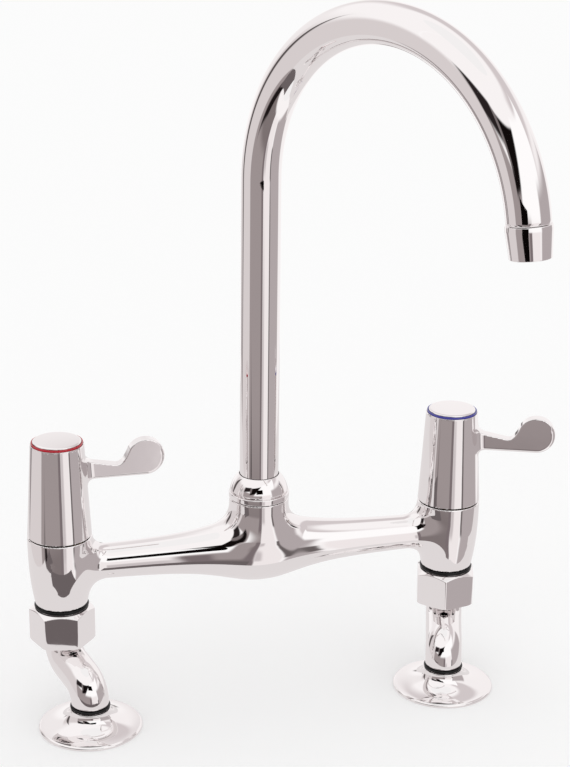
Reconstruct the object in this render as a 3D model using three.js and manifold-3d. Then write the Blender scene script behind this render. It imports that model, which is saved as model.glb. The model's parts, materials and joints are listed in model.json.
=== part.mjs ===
// A two-lever bridge mixer tap with a swivelling swan-neck spout, as a three.js scene graph.
// Millimetres, +Z up. The origin is on the spout's swivel axis, at the top of the deck.
// +X runs along the bridge to the cold valve, and the user stands on the -Y side.
import * as THREE from 'three';
import { mergeVertices } from 'three/addons/utils/BufferGeometryUtils.js';
import Module from 'manifold-3d';

const wasm = await Module();
wasm.setup();

// ---------------------------------------------------------------- driving dimensions
// Layout
const valveSpacing = 197.6; // between the two valves
const footInset = 8.8; // each tail is this much nearer the middle, so that they are 180 apart
const footForward = 27; // the tails, and their holes in the deck, are this far in front
const deckThickness = 30;

// Clearances
const gap = 0.3; // between pieces that touch, screw together or slide
const handleGap = 0.6; // between a valve body and the handle that turns on it
const sealGap = 0.1; // between a seal or clip and the groove that it sits in
const overrun = 1; // how far a cutting shape runs past the face that it opens

// Tail, flange and the fixings under the deck
const tailRadius = 10.3;
const tailLength = 52; // below the top of the deck
const tailRise = 5; // above it, inside the flange
const flangeRadius = 25;
const flangeRim = 1.8; // height of the flange's edge
const flangeHeight = 10.3;
const flangeNeckRadius = 9.9;
const flangeEdge = 0.8; // chamfer of its rim
const flangeSpread = 1.5; // power of its curve outwards
const flangeFall = 1.25; // power of its curve downwards
const deckSealRadius = 21;
const deckSealHeight = 1.5;
const deckSealBore = 12.3; // radius
const underWasherRadius = 17;
const rubberWasherHeight = 3;
const slipWasherHeight = 1.5;
const backnutAcrossFlats = 28;
const backnutHeight = 8;
const backnutFaceRadius = 15; // round face that it turns against the slip washer
const backnutFaceHeight = 1.5;

// Cranked leg
const legRadius = 9.1;
const legWaterway = 5.4; // radius
const legBend = 10.4; // radius of its two bends
const legDrop = 22.8; // from under the union nut to the leg's foot
const legSpigotRadius = 7;
const legSpigotLength = 18;
const footRingHeight = 1.5; // black seal ring between the leg and the flange
const footRingRadius = 9.7;

// Union between a leg and its valve
const nutAcrossFlats = 28;
const nutHeight = 17.6;
const nutLip = 3; // thickness of the lip that lifts the leg's collar
const nutChamfer = 1.5;
const hotNutAngle = -10; // degrees that each nut stands turned about its axis
const coldNutAngle = 12.5;
const collarHeight = 3;
const unionWasherHeight = 2;
const unionWasherBore = 7.2; // radius
const unionSpigotRadius = 11.6;
const unionRingHeight = 1.7; // black ring above the nut
const unionRingRadius = 13.3;
const ringPlay = 0.2; // between a black ring and the spigot that it sits on

// Bridge casting
const valveBottomRadius = 12.7;
const valveTopRadius = 15.6;
const valveBodyHeight = 35.2;
const valveTaper = 2.6; // power of the curve of a valve body's side
const armAboveValveBottom = 19.3;
const armRadius = 7.9;
const bossRadius = 16.7; // half the height of the swelling in the middle of the bridge
const bossSpread = 25.2; // half its length at half its swelling
const bossPower = 2.28;
const armFilletRadius = 11.5; // where an arm flares into its valve
const armFilletLength = 10;
const armFilletOverlap = 3; // of that flare with the valve
const armFlare = 4; // growth of an arm's radius over that length
const armWaterway = 4.6; // radius
const shoulderReach = 47.9; // from the neck's axis to where an arm starts to bend up into it
const shoulderTurn = 0.3; // share of that reach left when the bend is at its lowest
const shoulderSwell = 1.15; // how soon along the bend it is as thick as the neck
const shoulderInset = 0.2; // of the bend's start inside the arm
const neckRadius = 14.7;
const neckRise = 27; // of the neck's shoulder above the arms
const neckSpigotRadius = 12.6;
const neckSpigotHeight = 4;
const mixingRadius = 7.5;
const mixingDepth = 8.3; // of the mixing chamber below the arms

// Valve chamber and its ceramic-disc headwork
const chamberRadius = 10.6;
const seatBelowArm = 4.7;
const inletRadius = 6.2;
const seatSealHeight = 2.2;
const seatSealBore = 5.2; // radius
const seatSealRadius = 7.6;
const discRadius = 7.5;
const discThickness = 3;
const discPlay = 0.4; // round the discs, inside the barrel that holds them
const barrelWall = 1;
const windowWidth = 5.2;
const windowHeight = 8.4;
const windowToThread = 1.2;
const portInner = 1.65; // radii between which the discs' ports lie
const portOuter = 5.1;
const portAngle = 76; // degrees that each port spans
const headworkFlats = 21; // its hexagon, across flats
const headworkHexHeight = 3.5;
const headworkNeckRadius = 7.6;
const headworkNeckHeight = 9.6;
const headworkSealHeight = 1.7;
const headworkSealDepth = 1.5; // of its groove
const headworkStep = 0.5; // of the hexagon above the thread
const driverHeight = 2.2;
const spindleRadius = 4;
const spindlePlay = 0.35; // in the headwork's neck
const spindleGroove = 1; // depth of its grooves
const splineTeeth = 12;
const splineDepth = 0.4;
const splineInset = 0.1; // of its teeth below the spindle's own radius
const splineLength = 11;
const spindleRingHeight = 2;
const spindleRingRise = 2.4; // above the headwork's hexagon
const circlipHeight = 1;
const circlipRadius = 6;

// Lever handle
const shellBottomRadius = 15.5;
const shellTopRadius = 12.85;
const shellHeight = 46.4;
const shellWall = 2.3;
const shellCavityHeight = 15.6;
const screwPocketRadius = 7.8;
const screwPocketDepth = 14.3;
const screwRadius = 2.2;
const screwLength = 10;
const screwHoleDepth = 9; // in the end of the spindle
const screwHeadRadius = 4.6;
const screwHeadHeight = 3.2;
const screwHeadEdge = 1; // its chamfer
const screwKey = 4; // across the flats of its key's hole
const screwKeyDepth = 2;
const leverReach = 51.6; // from the handle's axis to the tip of the paddle
const leverRise = 36.6; // from the shell's foot to the middle of the paddle
const paddleRadius = 8.6;
const paddleTurn = 150; // degrees at which the paddle's round back meets the lever's arm
const leverThickness = 5.4;
const leverEdge = 1.4; // rounding of its edges
const leverEdgeSteps = 2;
const leverRootDepth = 7.8; // of the arm, where it leaves the shell
const leverTipDepth = 5.2; // of the arm, where it meets the paddle
const leverNeckReach = 12.9; // from the paddle's middle back to that place
const leverNeckCurve = 3.4; // run of the curve there
const leverRootCurve = 3; // run and rise of the fillets into the shell
const leverRootInset = 5; // of the lever's root inside the shell's side
const hotLeverAngle = 0; // degrees about +Z from +X, as it stands
const coldLeverAngle = -22;

// Coloured index ring and the cap over the handle's screw
const indexBaseHeight = 0.8;
const indexHeight = 1.7;
const indexWidth = 0.9; // of the coloured rim seen round the cap
const indexInset = 0.05; // of that rim from the edge of the shell's top
const capThickness = 1.4;
const capEdge = 1.2; // width of its sloping edge
const capEdgeHeight = 0.84; // at which that edge starts
const capCrown = 0.3; // rise of its middle
const capPlugRadius = 7.4;
const capPlugLength = 4;

// Spout
const tubeRadius = 9.5;
const tubeWall = 1;
const archRadius = 81.6;
const archAngle = 172; // degrees turned by the swan neck
const archCentreAboveNeck = 160;
const spoutAngle = 28; // degrees that the spout stands turned from straight forward to +X
const socketRadius = 11.3;
const socketDepth = 21.8;
const ferruleRadius = 11;
const ferruleHeadHeight = 17.5;
const ferruleShankHeight = 8;
const ferruleBore = 6.8; // radius
const sealGrooveHeight = 2.4;
const sealGrooveDepth = 1.8;
const sealGroovePitch = 4;
const sealGrooveRise = 1.6; // of the lower groove above the ferrule's foot
const sealPlay = 0.2; // between a seal and the sides of its groove
const sealRim = 0.15; // between a seal and the bore that it slides in
const collarRadius = 14.8;
const collarBead = 3; // height of the plain band at the collar's foot
const collarShoulder = 14.6; // radius at the foot of its dome
const collarMouth = 10.3; // radius at the top of its dome
const collarDome = 0.9; // power of the dome's curve
const collarTopHeight = 13.7;
const collarWebHeight = 4.6; // from the collar's foot to the web over the bush
const aeratorTopRadius = 10;
const aeratorBottomRadius = 8.9;
const aeratorLength = 14.3;
const aeratorBand = 3.6; // height of its widest part
const aeratorEdge = 0.4; // chamfer of its edges
const aeratorSpigotLength = 5;
const aeratorBore = 6.6; // radius
const aeratorSeat = 7.7; // radius of the recess for the insert
const aeratorSeatDepth = 9.5;
const aeratorInsertHeight = 7;
const aeratorWasherHeight = 1.2;
const aeratorWasherLip = 1; // of the washer inside the bore
const aeratorHoleRadius = 1;
const aeratorHoleCircle = 4.4;
const aeratorHoles = 8;

// Facets round a full turn
const roundSides = 24;
const smallSides = 12;
const tubeSides = 16;
const waterwaySides = 10;
const ringSides = 6; // round the section of an O-ring
const armSteps = 16; // along the bridge
const bendSteps = 5; // along each bend of a leg
const curveSteps = 6; // along any other curve
const archStep = 7.5; // degrees of the swan neck between two rings of facets

// ---------------------------------------------------------------- heights, from the deck up
const footZ = flangeHeight + gap + footRingHeight + gap;
const nutBottomZ = footZ + legDrop;
const nutTopZ = nutBottomZ + nutHeight;
const collarZ = nutBottomZ + nutLip + gap;
const unionWasherZ = collarZ + collarHeight + gap;
const spigotZ = unionWasherZ + unionWasherHeight + gap;
const valveBottomZ = nutTopZ + gap + unionRingHeight + gap;
const valveTopZ = valveBottomZ + valveBodyHeight;
const armZ = valveBottomZ + armAboveValveBottom;
const neckZ = armZ + neckRise;
const seatZ = armZ - seatBelowArm;
const fixedDiscZ = seatZ + gap + seatSealHeight + gap;
const movingDiscZ = fixedDiscZ + discThickness + gap;
const driverZ = movingDiscZ + discThickness + gap;
const headworkHexZ = valveTopZ + gap;
const headworkNeckZ = headworkHexZ + headworkHexHeight;
const circlipZ = headworkNeckZ + headworkNeckHeight + gap;
const shellZ = valveTopZ + handleGap;
const shellTopZ = shellZ + shellHeight;
const splineZ = shellZ + shellCavityHeight;
const screwSeatZ = shellTopZ - screwPocketDepth;
const indexZ = shellTopZ + gap;
const archCentreZ = neckZ + archCentreAboveNeck;
const socketZ = neckZ - socketDepth;
const ferruleZ = socketZ + gap;
const tubeZ = ferruleZ + ferruleHeadHeight + gap;
const valveX = valveSpacing / 2;
const holeX = valveX - footInset;

// ---------------------------------------------------------------- finishes
const finish = (color, roughness, metalness) =>
  new THREE.MeshStandardMaterial({ color, roughness, metalness });
const chrome = finish(0xe4e2e3, 0.06, 1);
const brass = finish(0xc9a352, 0.35, 1);
const steel = finish(0xb9bbbe, 0.3, 1);
const ceramic = finish(0xf1efe8, 0.3, 0);
const rubber = finish(0x17171a, 0.45, 0);
const nylon = finish(0xdcdcd2, 0.5, 0);
const redPlastic = finish(0xb3202c, 0.3, 0);
const bluePlastic = finish(0x4a4aa8, 0.3, 0);

// ---------------------------------------------------------------- shape helpers
const radians = THREE.MathUtils.degToRad;

// Signed volume enclosed by a geometry's triangles, positive when its faces point outwards.
function signedVolume(geometry) {
  const points = geometry.attributes.position;
  const index = geometry.index.array;
  const [a, b, c] = [new THREE.Vector3(), new THREE.Vector3(), new THREE.Vector3()];
  let volume = 0;
  for (let i = 0; i < index.length; i += 3) {
    a.fromBufferAttribute(points, index[i]);
    b.fromBufferAttribute(points, index[i + 1]);
    c.fromBufferAttribute(points, index[i + 2]);
    volume += a.dot(b.cross(c)) / 6;
  }
  return volume;
}

// Merges a closed geometry's shared vertices, drops slivers and turns its faces outwards.
function closed(source) {
  const bare = source.clone();
  bare.deleteAttribute('normal');
  bare.deleteAttribute('uv');
  const geometry = mergeVertices(bare, 1e-4);
  const kept = [];
  const index = geometry.index.array;
  for (let i = 0; i < index.length; i += 3) {
    const [a, b, c] = [index[i], index[i + 1], index[i + 2]];
    if (a !== b && b !== c && c !== a) kept.push(a, b, c);
  }
  geometry.setIndex(kept);
  if (signedVolume(geometry) < 0) geometry.setIndex(kept.reverse());
  return geometry;
}

// The solid that a closed geometry bounds, for joining and cutting.
function solid(source) {
  const geometry = closed(source);
  return new wasm.Manifold(new wasm.Mesh({
    numProp: 3,
    vertProperties: new Float32Array(geometry.attributes.position.array),
    triVerts: new Uint32Array(geometry.index.array),
  }));
}

// The geometry of a joined or cut solid.
function geometryOf(body) {
  const mesh = body.getMesh();
  const geometry = new THREE.BufferGeometry();
  geometry.setAttribute('position', new THREE.BufferAttribute(mesh.vertProperties, 3));
  geometry.setIndex(new THREE.BufferAttribute(mesh.triVerts, 1));
  return geometry;
}

const join = (...geometries) =>
  geometryOf(geometries.map(solid).reduce((whole, next) => whole.add(next)));

const cut = (geometry, ...tools) =>
  geometryOf(tools.map(solid).reduce((whole, tool) => whole.subtract(tool), solid(geometry)));

const common = (first, second) => geometryOf(solid(first).intersect(solid(second)));

// Turns a closed profile of [radius, height] points about the Z axis.
function turned(profile, sides = roundSides) {
  const points = profile.map(([radius, height]) => new THREE.Vector2(radius, height));
  if (profile[0][0] > 0) points.push(points[0].clone());
  return closed(new THREE.LatheGeometry(points, sides).rotateX(Math.PI / 2));
}

const disc = (radius, low, high, sides = roundSides) =>
  turned([[0, low], [radius, low], [radius, high], [0, high]], sides);

// A faceted hole is drawn round its circle, so that a faceted shaft always clears it.
const around = (radius, sides = roundSides) => radius / Math.cos(Math.PI / sides);

const bore = (radius, low, high, sides = roundSides) =>
  disc(around(radius, sides), low, high, sides);

function ring(inner, outer, low, high, sides = roundSides) {
  const hole = around(inner, sides);
  return turned([[hole, low], [outer, low], [outer, high], [hole, high]], sides);
}

// A ring with a round section, as an O-ring has.
function roundRing(inner, outer, low, high, sides = smallSides) {
  const hole = around(inner, sides);
  const points = [];
  for (let i = 0; i < ringSides; i += 1) {
    const angle = (i * 2 * Math.PI) / ringSides;
    points.push([
      (hole + outer) / 2 + (Math.cos(angle) * (outer - hole)) / 2,
      (low + high) / 2 + (Math.sin(angle) * (high - low)) / 2,
    ]);
  }
  return turned(points, sides);
}

// A hexagonal prism with its corners along X, turned by an angle in degrees.
function hexagon(acrossFlats, low, high, angle = 0) {
  const corner = acrossFlats / Math.sqrt(3);
  return new THREE.CylinderGeometry(corner, corner, high - low, 6)
    .rotateX(Math.PI / 2)
    .rotateZ(radians(90 + angle))
    .translate(0, 0, (low + high) / 2);
}

// A round rod of changing radius along X, from one closed end to the other.
function alongX(length, radiusAt, steps, sides = roundSides) {
  const profile = [[0, -length / 2]];
  for (let i = 0; i <= steps; i += 1) {
    const x = length * (i / steps - 0.5);
    profile.push([radiusAt(x), x]);
  }
  profile.push([0, length / 2]);
  const points = profile.map(([radius, x]) => new THREE.Vector2(radius, x));
  return closed(new THREE.LatheGeometry(points, sides).rotateZ(-Math.PI / 2));
}

// A round bar along a flat curve, closed by flat ends. Each station has its centre, the
// direction of the path there and its radius; sideways is square to the plane of the curve.
function bar(stations, sideways, sides) {
  const vertices = [];
  const triangles = [];
  const last = stations.length - 1;
  stations.forEach(({ centre, along, radius }, i) => {
    const outward = sideways.clone().cross(along).normalize();
    for (let j = 0; j < sides; j += 1) {
      const angle = ((j + 0.5) / sides) * 2 * Math.PI;
      const point = centre.clone()
        .addScaledVector(outward, radius * Math.cos(angle))
        .addScaledVector(sideways, radius * Math.sin(angle));
      vertices.push(...point.toArray());
      const [a, b] = [i * sides + j, i * sides + ((j + 1) % sides)];
      if (i < last) triangles.push(a, b, b + sides, a, b + sides, a + sides);
      if (j > 1 && i === 0) triangles.push(0, j, j - 1);
      if (j > 1 && i === last) triangles.push(i * sides, i * sides + j - 1, i * sides + j);
    }
  });
  const geometry = new THREE.BufferGeometry();
  geometry.setAttribute('position', new THREE.Float32BufferAttribute(vertices, 3));
  geometry.setIndex(triangles);
  return closed(geometry);
}

// ---------------------------------------------------------------- bridge casting
const mixer = new THREE.Group();

function piece(name, geometry, material, parent = mixer) {
  const mesh = new THREE.Mesh(geometry, material);
  mesh.name = name;
  parent.add(mesh);
  return mesh;
}

// Radius of the bridge about its own axis: slim arms, a swollen middle and flared ends.
function bridgeRadius(x) {
  const boss = (bossRadius - armRadius) / (1 + (Math.abs(x) / bossSpread) ** bossPower);
  const flareStart = valveX - valveTopRadius - armFilletLength + armFilletOverlap;
  const flare = Math.max(0, (Math.abs(x) - flareStart) / armFilletLength) ** 2;
  const flared = armRadius + boss + flare * armFlare;
  return Math.min(flared, Math.max(armFilletRadius, armRadius + boss));
}

// The side of a valve body curves in towards its foot.
function valveBody() {
  const profile = [[0, valveBottomZ]];
  for (let i = 0; i <= curveSteps; i += 1) {
    const z = valveBottomZ + (valveBodyHeight * i) / curveSteps;
    const drop = ((valveTopZ - z) / valveBodyHeight) ** valveTaper;
    profile.push([valveTopRadius - (valveTopRadius - valveBottomRadius) * drop, z]);
  }
  profile.push([0, valveTopZ]);
  return turned(profile);
}

// A bend that carries one arm smoothly up into the neck.
function shoulder(side) {
  const startX = side * shoulderReach;
  const curve = new THREE.CubicBezierCurve3(
    new THREE.Vector3(startX, 0, armZ),
    new THREE.Vector3(startX * shoulderTurn, 0, armZ),
    new THREE.Vector3(0, 0, armZ),
    new THREE.Vector3(0, 0, neckZ),
  );
  const startRadius = bridgeRadius(startX) - shoulderInset;
  const stations = [];
  for (let i = 0; i <= curveSteps; i += 1) {
    const t = i / curveSteps;
    stations.push({
      centre: curve.getPoint(t),
      along: curve.getTangent(t),
      radius: startRadius + (neckRadius - startRadius) * Math.min(1, t * shoulderSwell),
    });
  }
  return bar(stations, new THREE.Vector3(0, 1, 0), roundSides);
}

function bridgeCasting() {
  const reach = valveSpacing - chamberRadius;
  const arms = alongX(reach, bridgeRadius, armSteps).translate(0, 0, armZ);
  const neck = disc(neckRadius, armZ, neckZ);
  const neckSpigot = disc(neckSpigotRadius, armZ, neckZ + neckSpigotHeight);
  const shapes = [arms, neck, neckSpigot, shoulder(-1), shoulder(1)];
  const cuts = [
    bore(socketRadius, socketZ, neckZ + neckSpigotHeight + overrun),
    bore(mixingRadius, armZ - mixingDepth, socketZ + overrun, smallSides),
    alongX(valveSpacing, () => armWaterway, 1, smallSides).translate(0, 0, armZ),
  ];
  for (const x of [-valveX, valveX]) {
    shapes.push(valveBody().translate(x, 0, 0));
    shapes.push(disc(unionSpigotRadius, spigotZ, valveBottomZ + overrun).translate(x, 0, 0));
    cuts.push(bore(chamberRadius, seatZ, valveTopZ + overrun).translate(x, 0, 0));
    cuts.push(bore(inletRadius, spigotZ - overrun, seatZ + overrun, smallSides)
      .translate(x, 0, 0));
  }
  return cut(join(...shapes), ...cuts);
}

// ---------------------------------------------------------------- headwork
const barrelInner = discRadius + discPlay;
const barrelOuter = barrelInner + barrelWall;
const threadZ = fixedDiscZ + windowHeight + windowToThread;
const spindleBore = spindleRadius + spindlePlay;
const headworkSealZ = valveTopZ - headworkSealHeight - gap;

function headworkBody() {
  const threadRadius = chamberRadius - gap;
  const grooveRadius = threadRadius - headworkSealDepth;
  const hexFoot = headworkHexZ + headworkStep;
  const neckTop = headworkNeckZ + headworkNeckHeight;
  const cavityTop = driverZ + driverHeight + gap;
  const turnedBody = turned([
    [barrelInner, fixedDiscZ], [barrelOuter, fixedDiscZ], [barrelOuter, threadZ],
    [threadRadius, threadZ], [threadRadius, headworkSealZ - gap],
    [grooveRadius, headworkSealZ - gap], [grooveRadius, hexFoot],
    [headworkNeckRadius, hexFoot], [headworkNeckRadius, neckTop],
    [spindleBore, neckTop], [spindleBore, cavityTop], [barrelInner, cavityTop],
  ], tubeSides);
  const hexRing = cut(
    hexagon(headworkFlats, headworkHexZ, headworkNeckZ),
    disc(headworkNeckRadius - overrun, headworkHexZ - overrun, headworkNeckZ + overrun, tubeSides),
  );
  const window = new THREE.BoxGeometry(barrelOuter * 3, windowWidth, windowHeight + overrun)
    .translate(0, 0, fixedDiscZ + (windowHeight - overrun) / 2);
  return cut(join(turnedBody, hexRing), window);
}

// A ceramic disc with two ports opposite each other, and on request two locking tabs.
function ceramicDisc(low, withTabs) {
  const outline = new THREE.Shape();
  const tabHalf = windowWidth / 2 - gap;
  const tabAngle = Math.asin(tabHalf / discRadius);
  if (withTabs) {
    outline.moveTo(barrelOuter - gap, -tabHalf);
    outline.lineTo(barrelOuter - gap, tabHalf);
    outline.absarc(0, 0, discRadius, tabAngle, Math.PI - tabAngle, false);
    outline.lineTo(gap - barrelOuter, tabHalf);
    outline.lineTo(gap - barrelOuter, -tabHalf);
    outline.absarc(0, 0, discRadius, Math.PI + tabAngle, 2 * Math.PI - tabAngle, false);
    outline.closePath();
  } else {
    outline.absarc(0, 0, discRadius, 0, 2 * Math.PI, false);
  }
  for (const middle of [Math.PI / 2, -Math.PI / 2]) {
    const port = new THREE.Path();
    const [from, to] = [middle - radians(portAngle / 2), middle + radians(portAngle / 2)];
    port.absarc(0, 0, portOuter, from, to, false);
    port.absarc(0, 0, portInner, to, from, true);
    port.closePath();
    outline.holes.push(port);
  }
  const settings = { depth: discThickness, bevelEnabled: false, curveSegments: curveSteps };
  return closed(new THREE.ExtrudeGeometry(outline, settings).translate(0, 0, low));
}

// The splined end of the spindle is a star with small straight teeth.
function spline(low, high) {
  const outline = new THREE.Shape();
  for (let i = 0; i < splineTeeth * 2; i += 1) {
    const angle = (i * Math.PI) / splineTeeth;
    const radius = spindleRadius - splineInset - (i % 2) * splineDepth;
    const point = [radius * Math.cos(angle), radius * Math.sin(angle)];
    if (i === 0) outline.moveTo(...point);
    else outline.lineTo(...point);
  }
  outline.closePath();
  const settings = { depth: high - low, bevelEnabled: false };
  return new THREE.ExtrudeGeometry(outline, settings).translate(0, 0, low);
}

const spindleRingZ = headworkNeckZ + spindleRingRise;
const spindleTopZ = splineZ + splineLength;

function spindle() {
  const grooveRadius = spindleRadius - spindleGroove;
  const clipFoot = circlipZ - sealGap;
  const clipTop = circlipZ + circlipHeight + sealGap;
  const endRadius = spindleRadius - splineInset;
  const shaft = turned([
    [0, driverZ], [discRadius - gap, driverZ],
    [discRadius - gap, driverZ + driverHeight], [spindleRadius, driverZ + driverHeight],
    [spindleRadius, spindleRingZ - gap], [grooveRadius, spindleRingZ - gap],
    [grooveRadius, spindleRingZ + spindleRingHeight + gap],
    [spindleRadius, spindleRingZ + spindleRingHeight + gap],
    [spindleRadius, clipFoot], [grooveRadius, clipFoot],
    [grooveRadius, clipTop], [endRadius, clipTop], [endRadius, splineZ], [0, splineZ],
  ], smallSides);
  const tappedHole = bore(
    screwRadius + gap, spindleTopZ - screwHoleDepth, spindleTopZ + overrun, waterwaySides,
  );
  return cut(join(shaft, spline(splineZ - overrun, spindleTopZ)), tappedHole);
}

// ---------------------------------------------------------------- lever handle
// Side view of the lever: X runs out from the handle's axis, Y is height.
function leverOutline() {
  const outline = new THREE.Shape();
  const inset = leverEdge;
  const radius = paddleRadius - inset;
  const paddleX = leverReach - paddleRadius;
  const paddleY = leverRise;
  const armBottom = leverRise - paddleRadius + inset;
  const rootTop = armBottom + leverRootDepth - 2 * inset;
  const neckTop = armBottom + leverTipDepth - 2 * inset;
  const neckX = paddleX - leverNeckReach;
  const rootX = shellTopRadius - leverRootInset;
  const shellX = shellBottomRadius;
  outline.moveTo(rootX, armBottom - leverRootCurve);
  outline.quadraticCurveTo(shellX, armBottom, shellX + leverRootCurve, armBottom);
  outline.lineTo(paddleX, paddleY - radius);
  outline.absarc(paddleX, paddleY, radius, -Math.PI / 2, radians(paddleTurn), false);
  outline.quadraticCurveTo(neckX + leverNeckCurve, neckTop, neckX, neckTop);
  outline.lineTo(shellX + leverRootCurve, rootTop);
  outline.quadraticCurveTo(shellX, rootTop, rootX, rootTop + leverRootCurve);
  outline.closePath();
  return outline;
}

function lever() {
  const settings = {
    depth: leverThickness - 2 * leverEdge,
    bevelEnabled: true,
    bevelSize: leverEdge,
    bevelThickness: leverEdge,
    bevelSegments: leverEdgeSteps,
    curveSegments: curveSteps,
  };
  return new THREE.ExtrudeGeometry(leverOutline(), settings)
    .translate(0, 0, leverEdge - leverThickness / 2)
    .rotateX(Math.PI / 2)
    .translate(0, 0, shellZ);
}

const screwHoleRadius = screwRadius + 2 * gap;
const splineBore = spindleRadius + gap;
const handleBoreTop = spindleTopZ + gap;

function leverHandle() {
  const slope = (shellBottomRadius - shellTopRadius) / shellHeight;
  const cavityBottomRadius = shellBottomRadius - shellWall;
  const cavityTopRadius = cavityBottomRadius - slope * shellCavityHeight;
  const outside = turned([
    [0, shellZ], [shellBottomRadius, shellZ], [shellTopRadius, shellTopZ], [0, shellTopZ],
  ]);
  const cavity = turned([
    [0, shellZ - overrun], [cavityBottomRadius, shellZ - overrun], [cavityTopRadius, splineZ],
    [0, splineZ],
  ]);
  return cut(
    join(outside, lever()),
    cavity,
    bore(splineBore, splineZ - overrun, handleBoreTop, smallSides),
    bore(screwHoleRadius, handleBoreTop - overrun, screwSeatZ + overrun, smallSides),
    bore(screwPocketRadius, screwSeatZ, shellTopZ + overrun, tubeSides),
  );
}

function handleScrew() {
  const headZ = screwSeatZ + gap;
  const headTop = headZ + screwHeadHeight;
  const tip = headZ - screwLength;
  const body = turned([
    [0, tip], [screwRadius, tip], [screwRadius, headZ], [screwHeadRadius, headZ],
    [screwHeadRadius, headTop - screwHeadEdge], [screwHeadRadius - screwHeadEdge, headTop],
    [0, headTop],
  ], smallSides);
  return cut(body, hexagon(screwKey, headTop - screwKeyDepth, headTop + overrun));
}

// The coloured ring has a thin base under the cap and a rim that shows round it.
function indexRing() {
  const rim = shellTopRadius - indexInset;
  return turned([
    [capPlugRadius + gap, indexZ], [rim, indexZ], [rim, indexZ + indexHeight],
    [rim - indexWidth, indexZ + indexHeight], [rim - indexWidth, indexZ + indexBaseHeight],
    [capPlugRadius + gap, indexZ + indexBaseHeight],
  ]);
}

function indexCap() {
  const edge = shellTopRadius - indexInset - indexWidth - gap;
  const low = indexZ + indexBaseHeight + gap;
  return turned([
    [0, indexZ - capPlugLength], [capPlugRadius, indexZ - capPlugLength], [capPlugRadius, low],
    [edge, low], [edge, low + capEdgeHeight], [edge - capEdge, low + capThickness],
    [0, low + capThickness + capCrown],
  ]);
}

// ---------------------------------------------------------------- union, leg and foot
function unionNut(angle) {
  const corner = around(nutAcrossFlats / Math.sqrt(3));
  const round = turned([
    [0, nutBottomZ], [corner - nutChamfer, nutBottomZ], [corner, nutBottomZ + nutChamfer],
    [corner, nutTopZ - nutChamfer], [corner - nutChamfer, nutTopZ], [0, nutTopZ],
  ]);
  const body = common(hexagon(nutAcrossFlats, nutBottomZ, nutTopZ, angle), round);
  return cut(
    body,
    bore(unionSpigotRadius + gap, nutBottomZ + nutLip, nutTopZ + overrun),
    bore(legRadius + 2 * gap, nutBottomZ - overrun, nutBottomZ + nutLip + overrun),
  );
}

// A leg's centre line lies in the upright plane through both its ends: straight out of the
// union, two equal bends with a slanted run between them, and straight down into the foot.
function legBar(side, top, bottom, radius, sides) {
  const foot = new THREE.Vector3(-side * footInset, -footForward, 0);
  const run = foot.length();
  const centres = Math.hypot(run - 2 * legBend, legDrop);
  const turn = Math.atan2(run - 2 * legBend, legDrop) + Math.asin((2 * legBend) / centres);
  const forward = foot.clone().normalize();
  const sideways = forward.clone().cross(new THREE.Vector3(0, 0, 1));
  const stations = [];
  const station = (out, z, angle) => stations.push({
    centre: forward.clone().multiplyScalar(out).setZ(z),
    along: forward.clone().multiplyScalar(Math.sin(angle)).setZ(-Math.cos(angle)),
    radius,
  });
  station(0, top, 0);
  for (let i = 0; i <= bendSteps; i += 1) {
    const angle = (turn * i) / bendSteps;
    const out = legBend * (1 - Math.cos(angle));
    station(out, nutBottomZ - legBend * Math.sin(angle), angle);
  }
  for (let i = bendSteps; i >= 0; i -= 1) {
    const angle = (turn * i) / bendSteps;
    const out = legBend * (1 - Math.cos(angle));
    station(run - out, footZ + legBend * Math.sin(angle), angle);
  }
  if (bottom < footZ) station(run, bottom, 0);
  return bar(stations, sideways, sides);
}

function leg(side) {
  const footX = -side * footInset;
  const collarTop = collarZ + collarHeight;
  const collar = disc(unionSpigotRadius, collarZ, collarTop);
  const spigotFoot = footZ - legSpigotLength;
  const spigot = disc(legSpigotRadius, spigotFoot, footZ + overrun, smallSides)
    .translate(footX, -footForward, 0);
  const outside = legBar(side, collarZ + overrun, footZ, legRadius, tubeSides);
  const bored = around(legWaterway, waterwaySides);
  const waterway = legBar(side, collarTop + overrun, spigotFoot - overrun, bored, waterwaySides);
  return cut(join(outside, collar, spigot), waterway);
}

// The flange flares from its neck to a thin flat disc; below it is hollow for the tail
// and has a shallow recess for the deck seal.
function flange() {
  const profile = [[legSpigotRadius + gap, flangeHeight], [flangeNeckRadius, flangeHeight]];
  const brim = flangeRadius - flangeEdge;
  for (let i = 1; i <= curveSteps; i += 1) {
    const angle = (i / curveSteps) * (Math.PI / 2);
    profile.push([
      brim - (brim - flangeNeckRadius) * Math.cos(angle) ** flangeSpread,
      flangeRim + (flangeHeight - flangeRim) * (1 - Math.sin(angle)) ** flangeFall,
    ]);
  }
  const recess = deckSealRadius + gap;
  profile.push([flangeRadius, flangeRim - flangeEdge], [flangeRadius, 0], [recess, 0]);
  profile.push([recess, deckSealHeight + gap], [tailRadius + gap, deckSealHeight + gap]);
  profile.push([tailRadius + gap, tailRise + gap], [legSpigotRadius + gap, tailRise + gap]);
  return turned(profile);
}

const underDeckZ = -deckThickness - gap;
const slipWasherZ = underDeckZ - rubberWasherHeight - gap;
const backnutZ = slipWasherZ - slipWasherHeight - gap;

function backnut() {
  const foot = backnutZ - backnutHeight;
  const face = disc(backnutFaceRadius, backnutZ - backnutFaceHeight, backnutZ);
  const body = join(hexagon(backnutAcrossFlats, foot, backnutZ - backnutFaceHeight), face);
  return cut(body, bore(tailRadius + gap, foot - overrun, backnutZ + overrun, tubeSides));
}

function tail() {
  return ring(legSpigotRadius + gap, tailRadius, -tailLength, tailRise, tubeSides);
}

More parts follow.
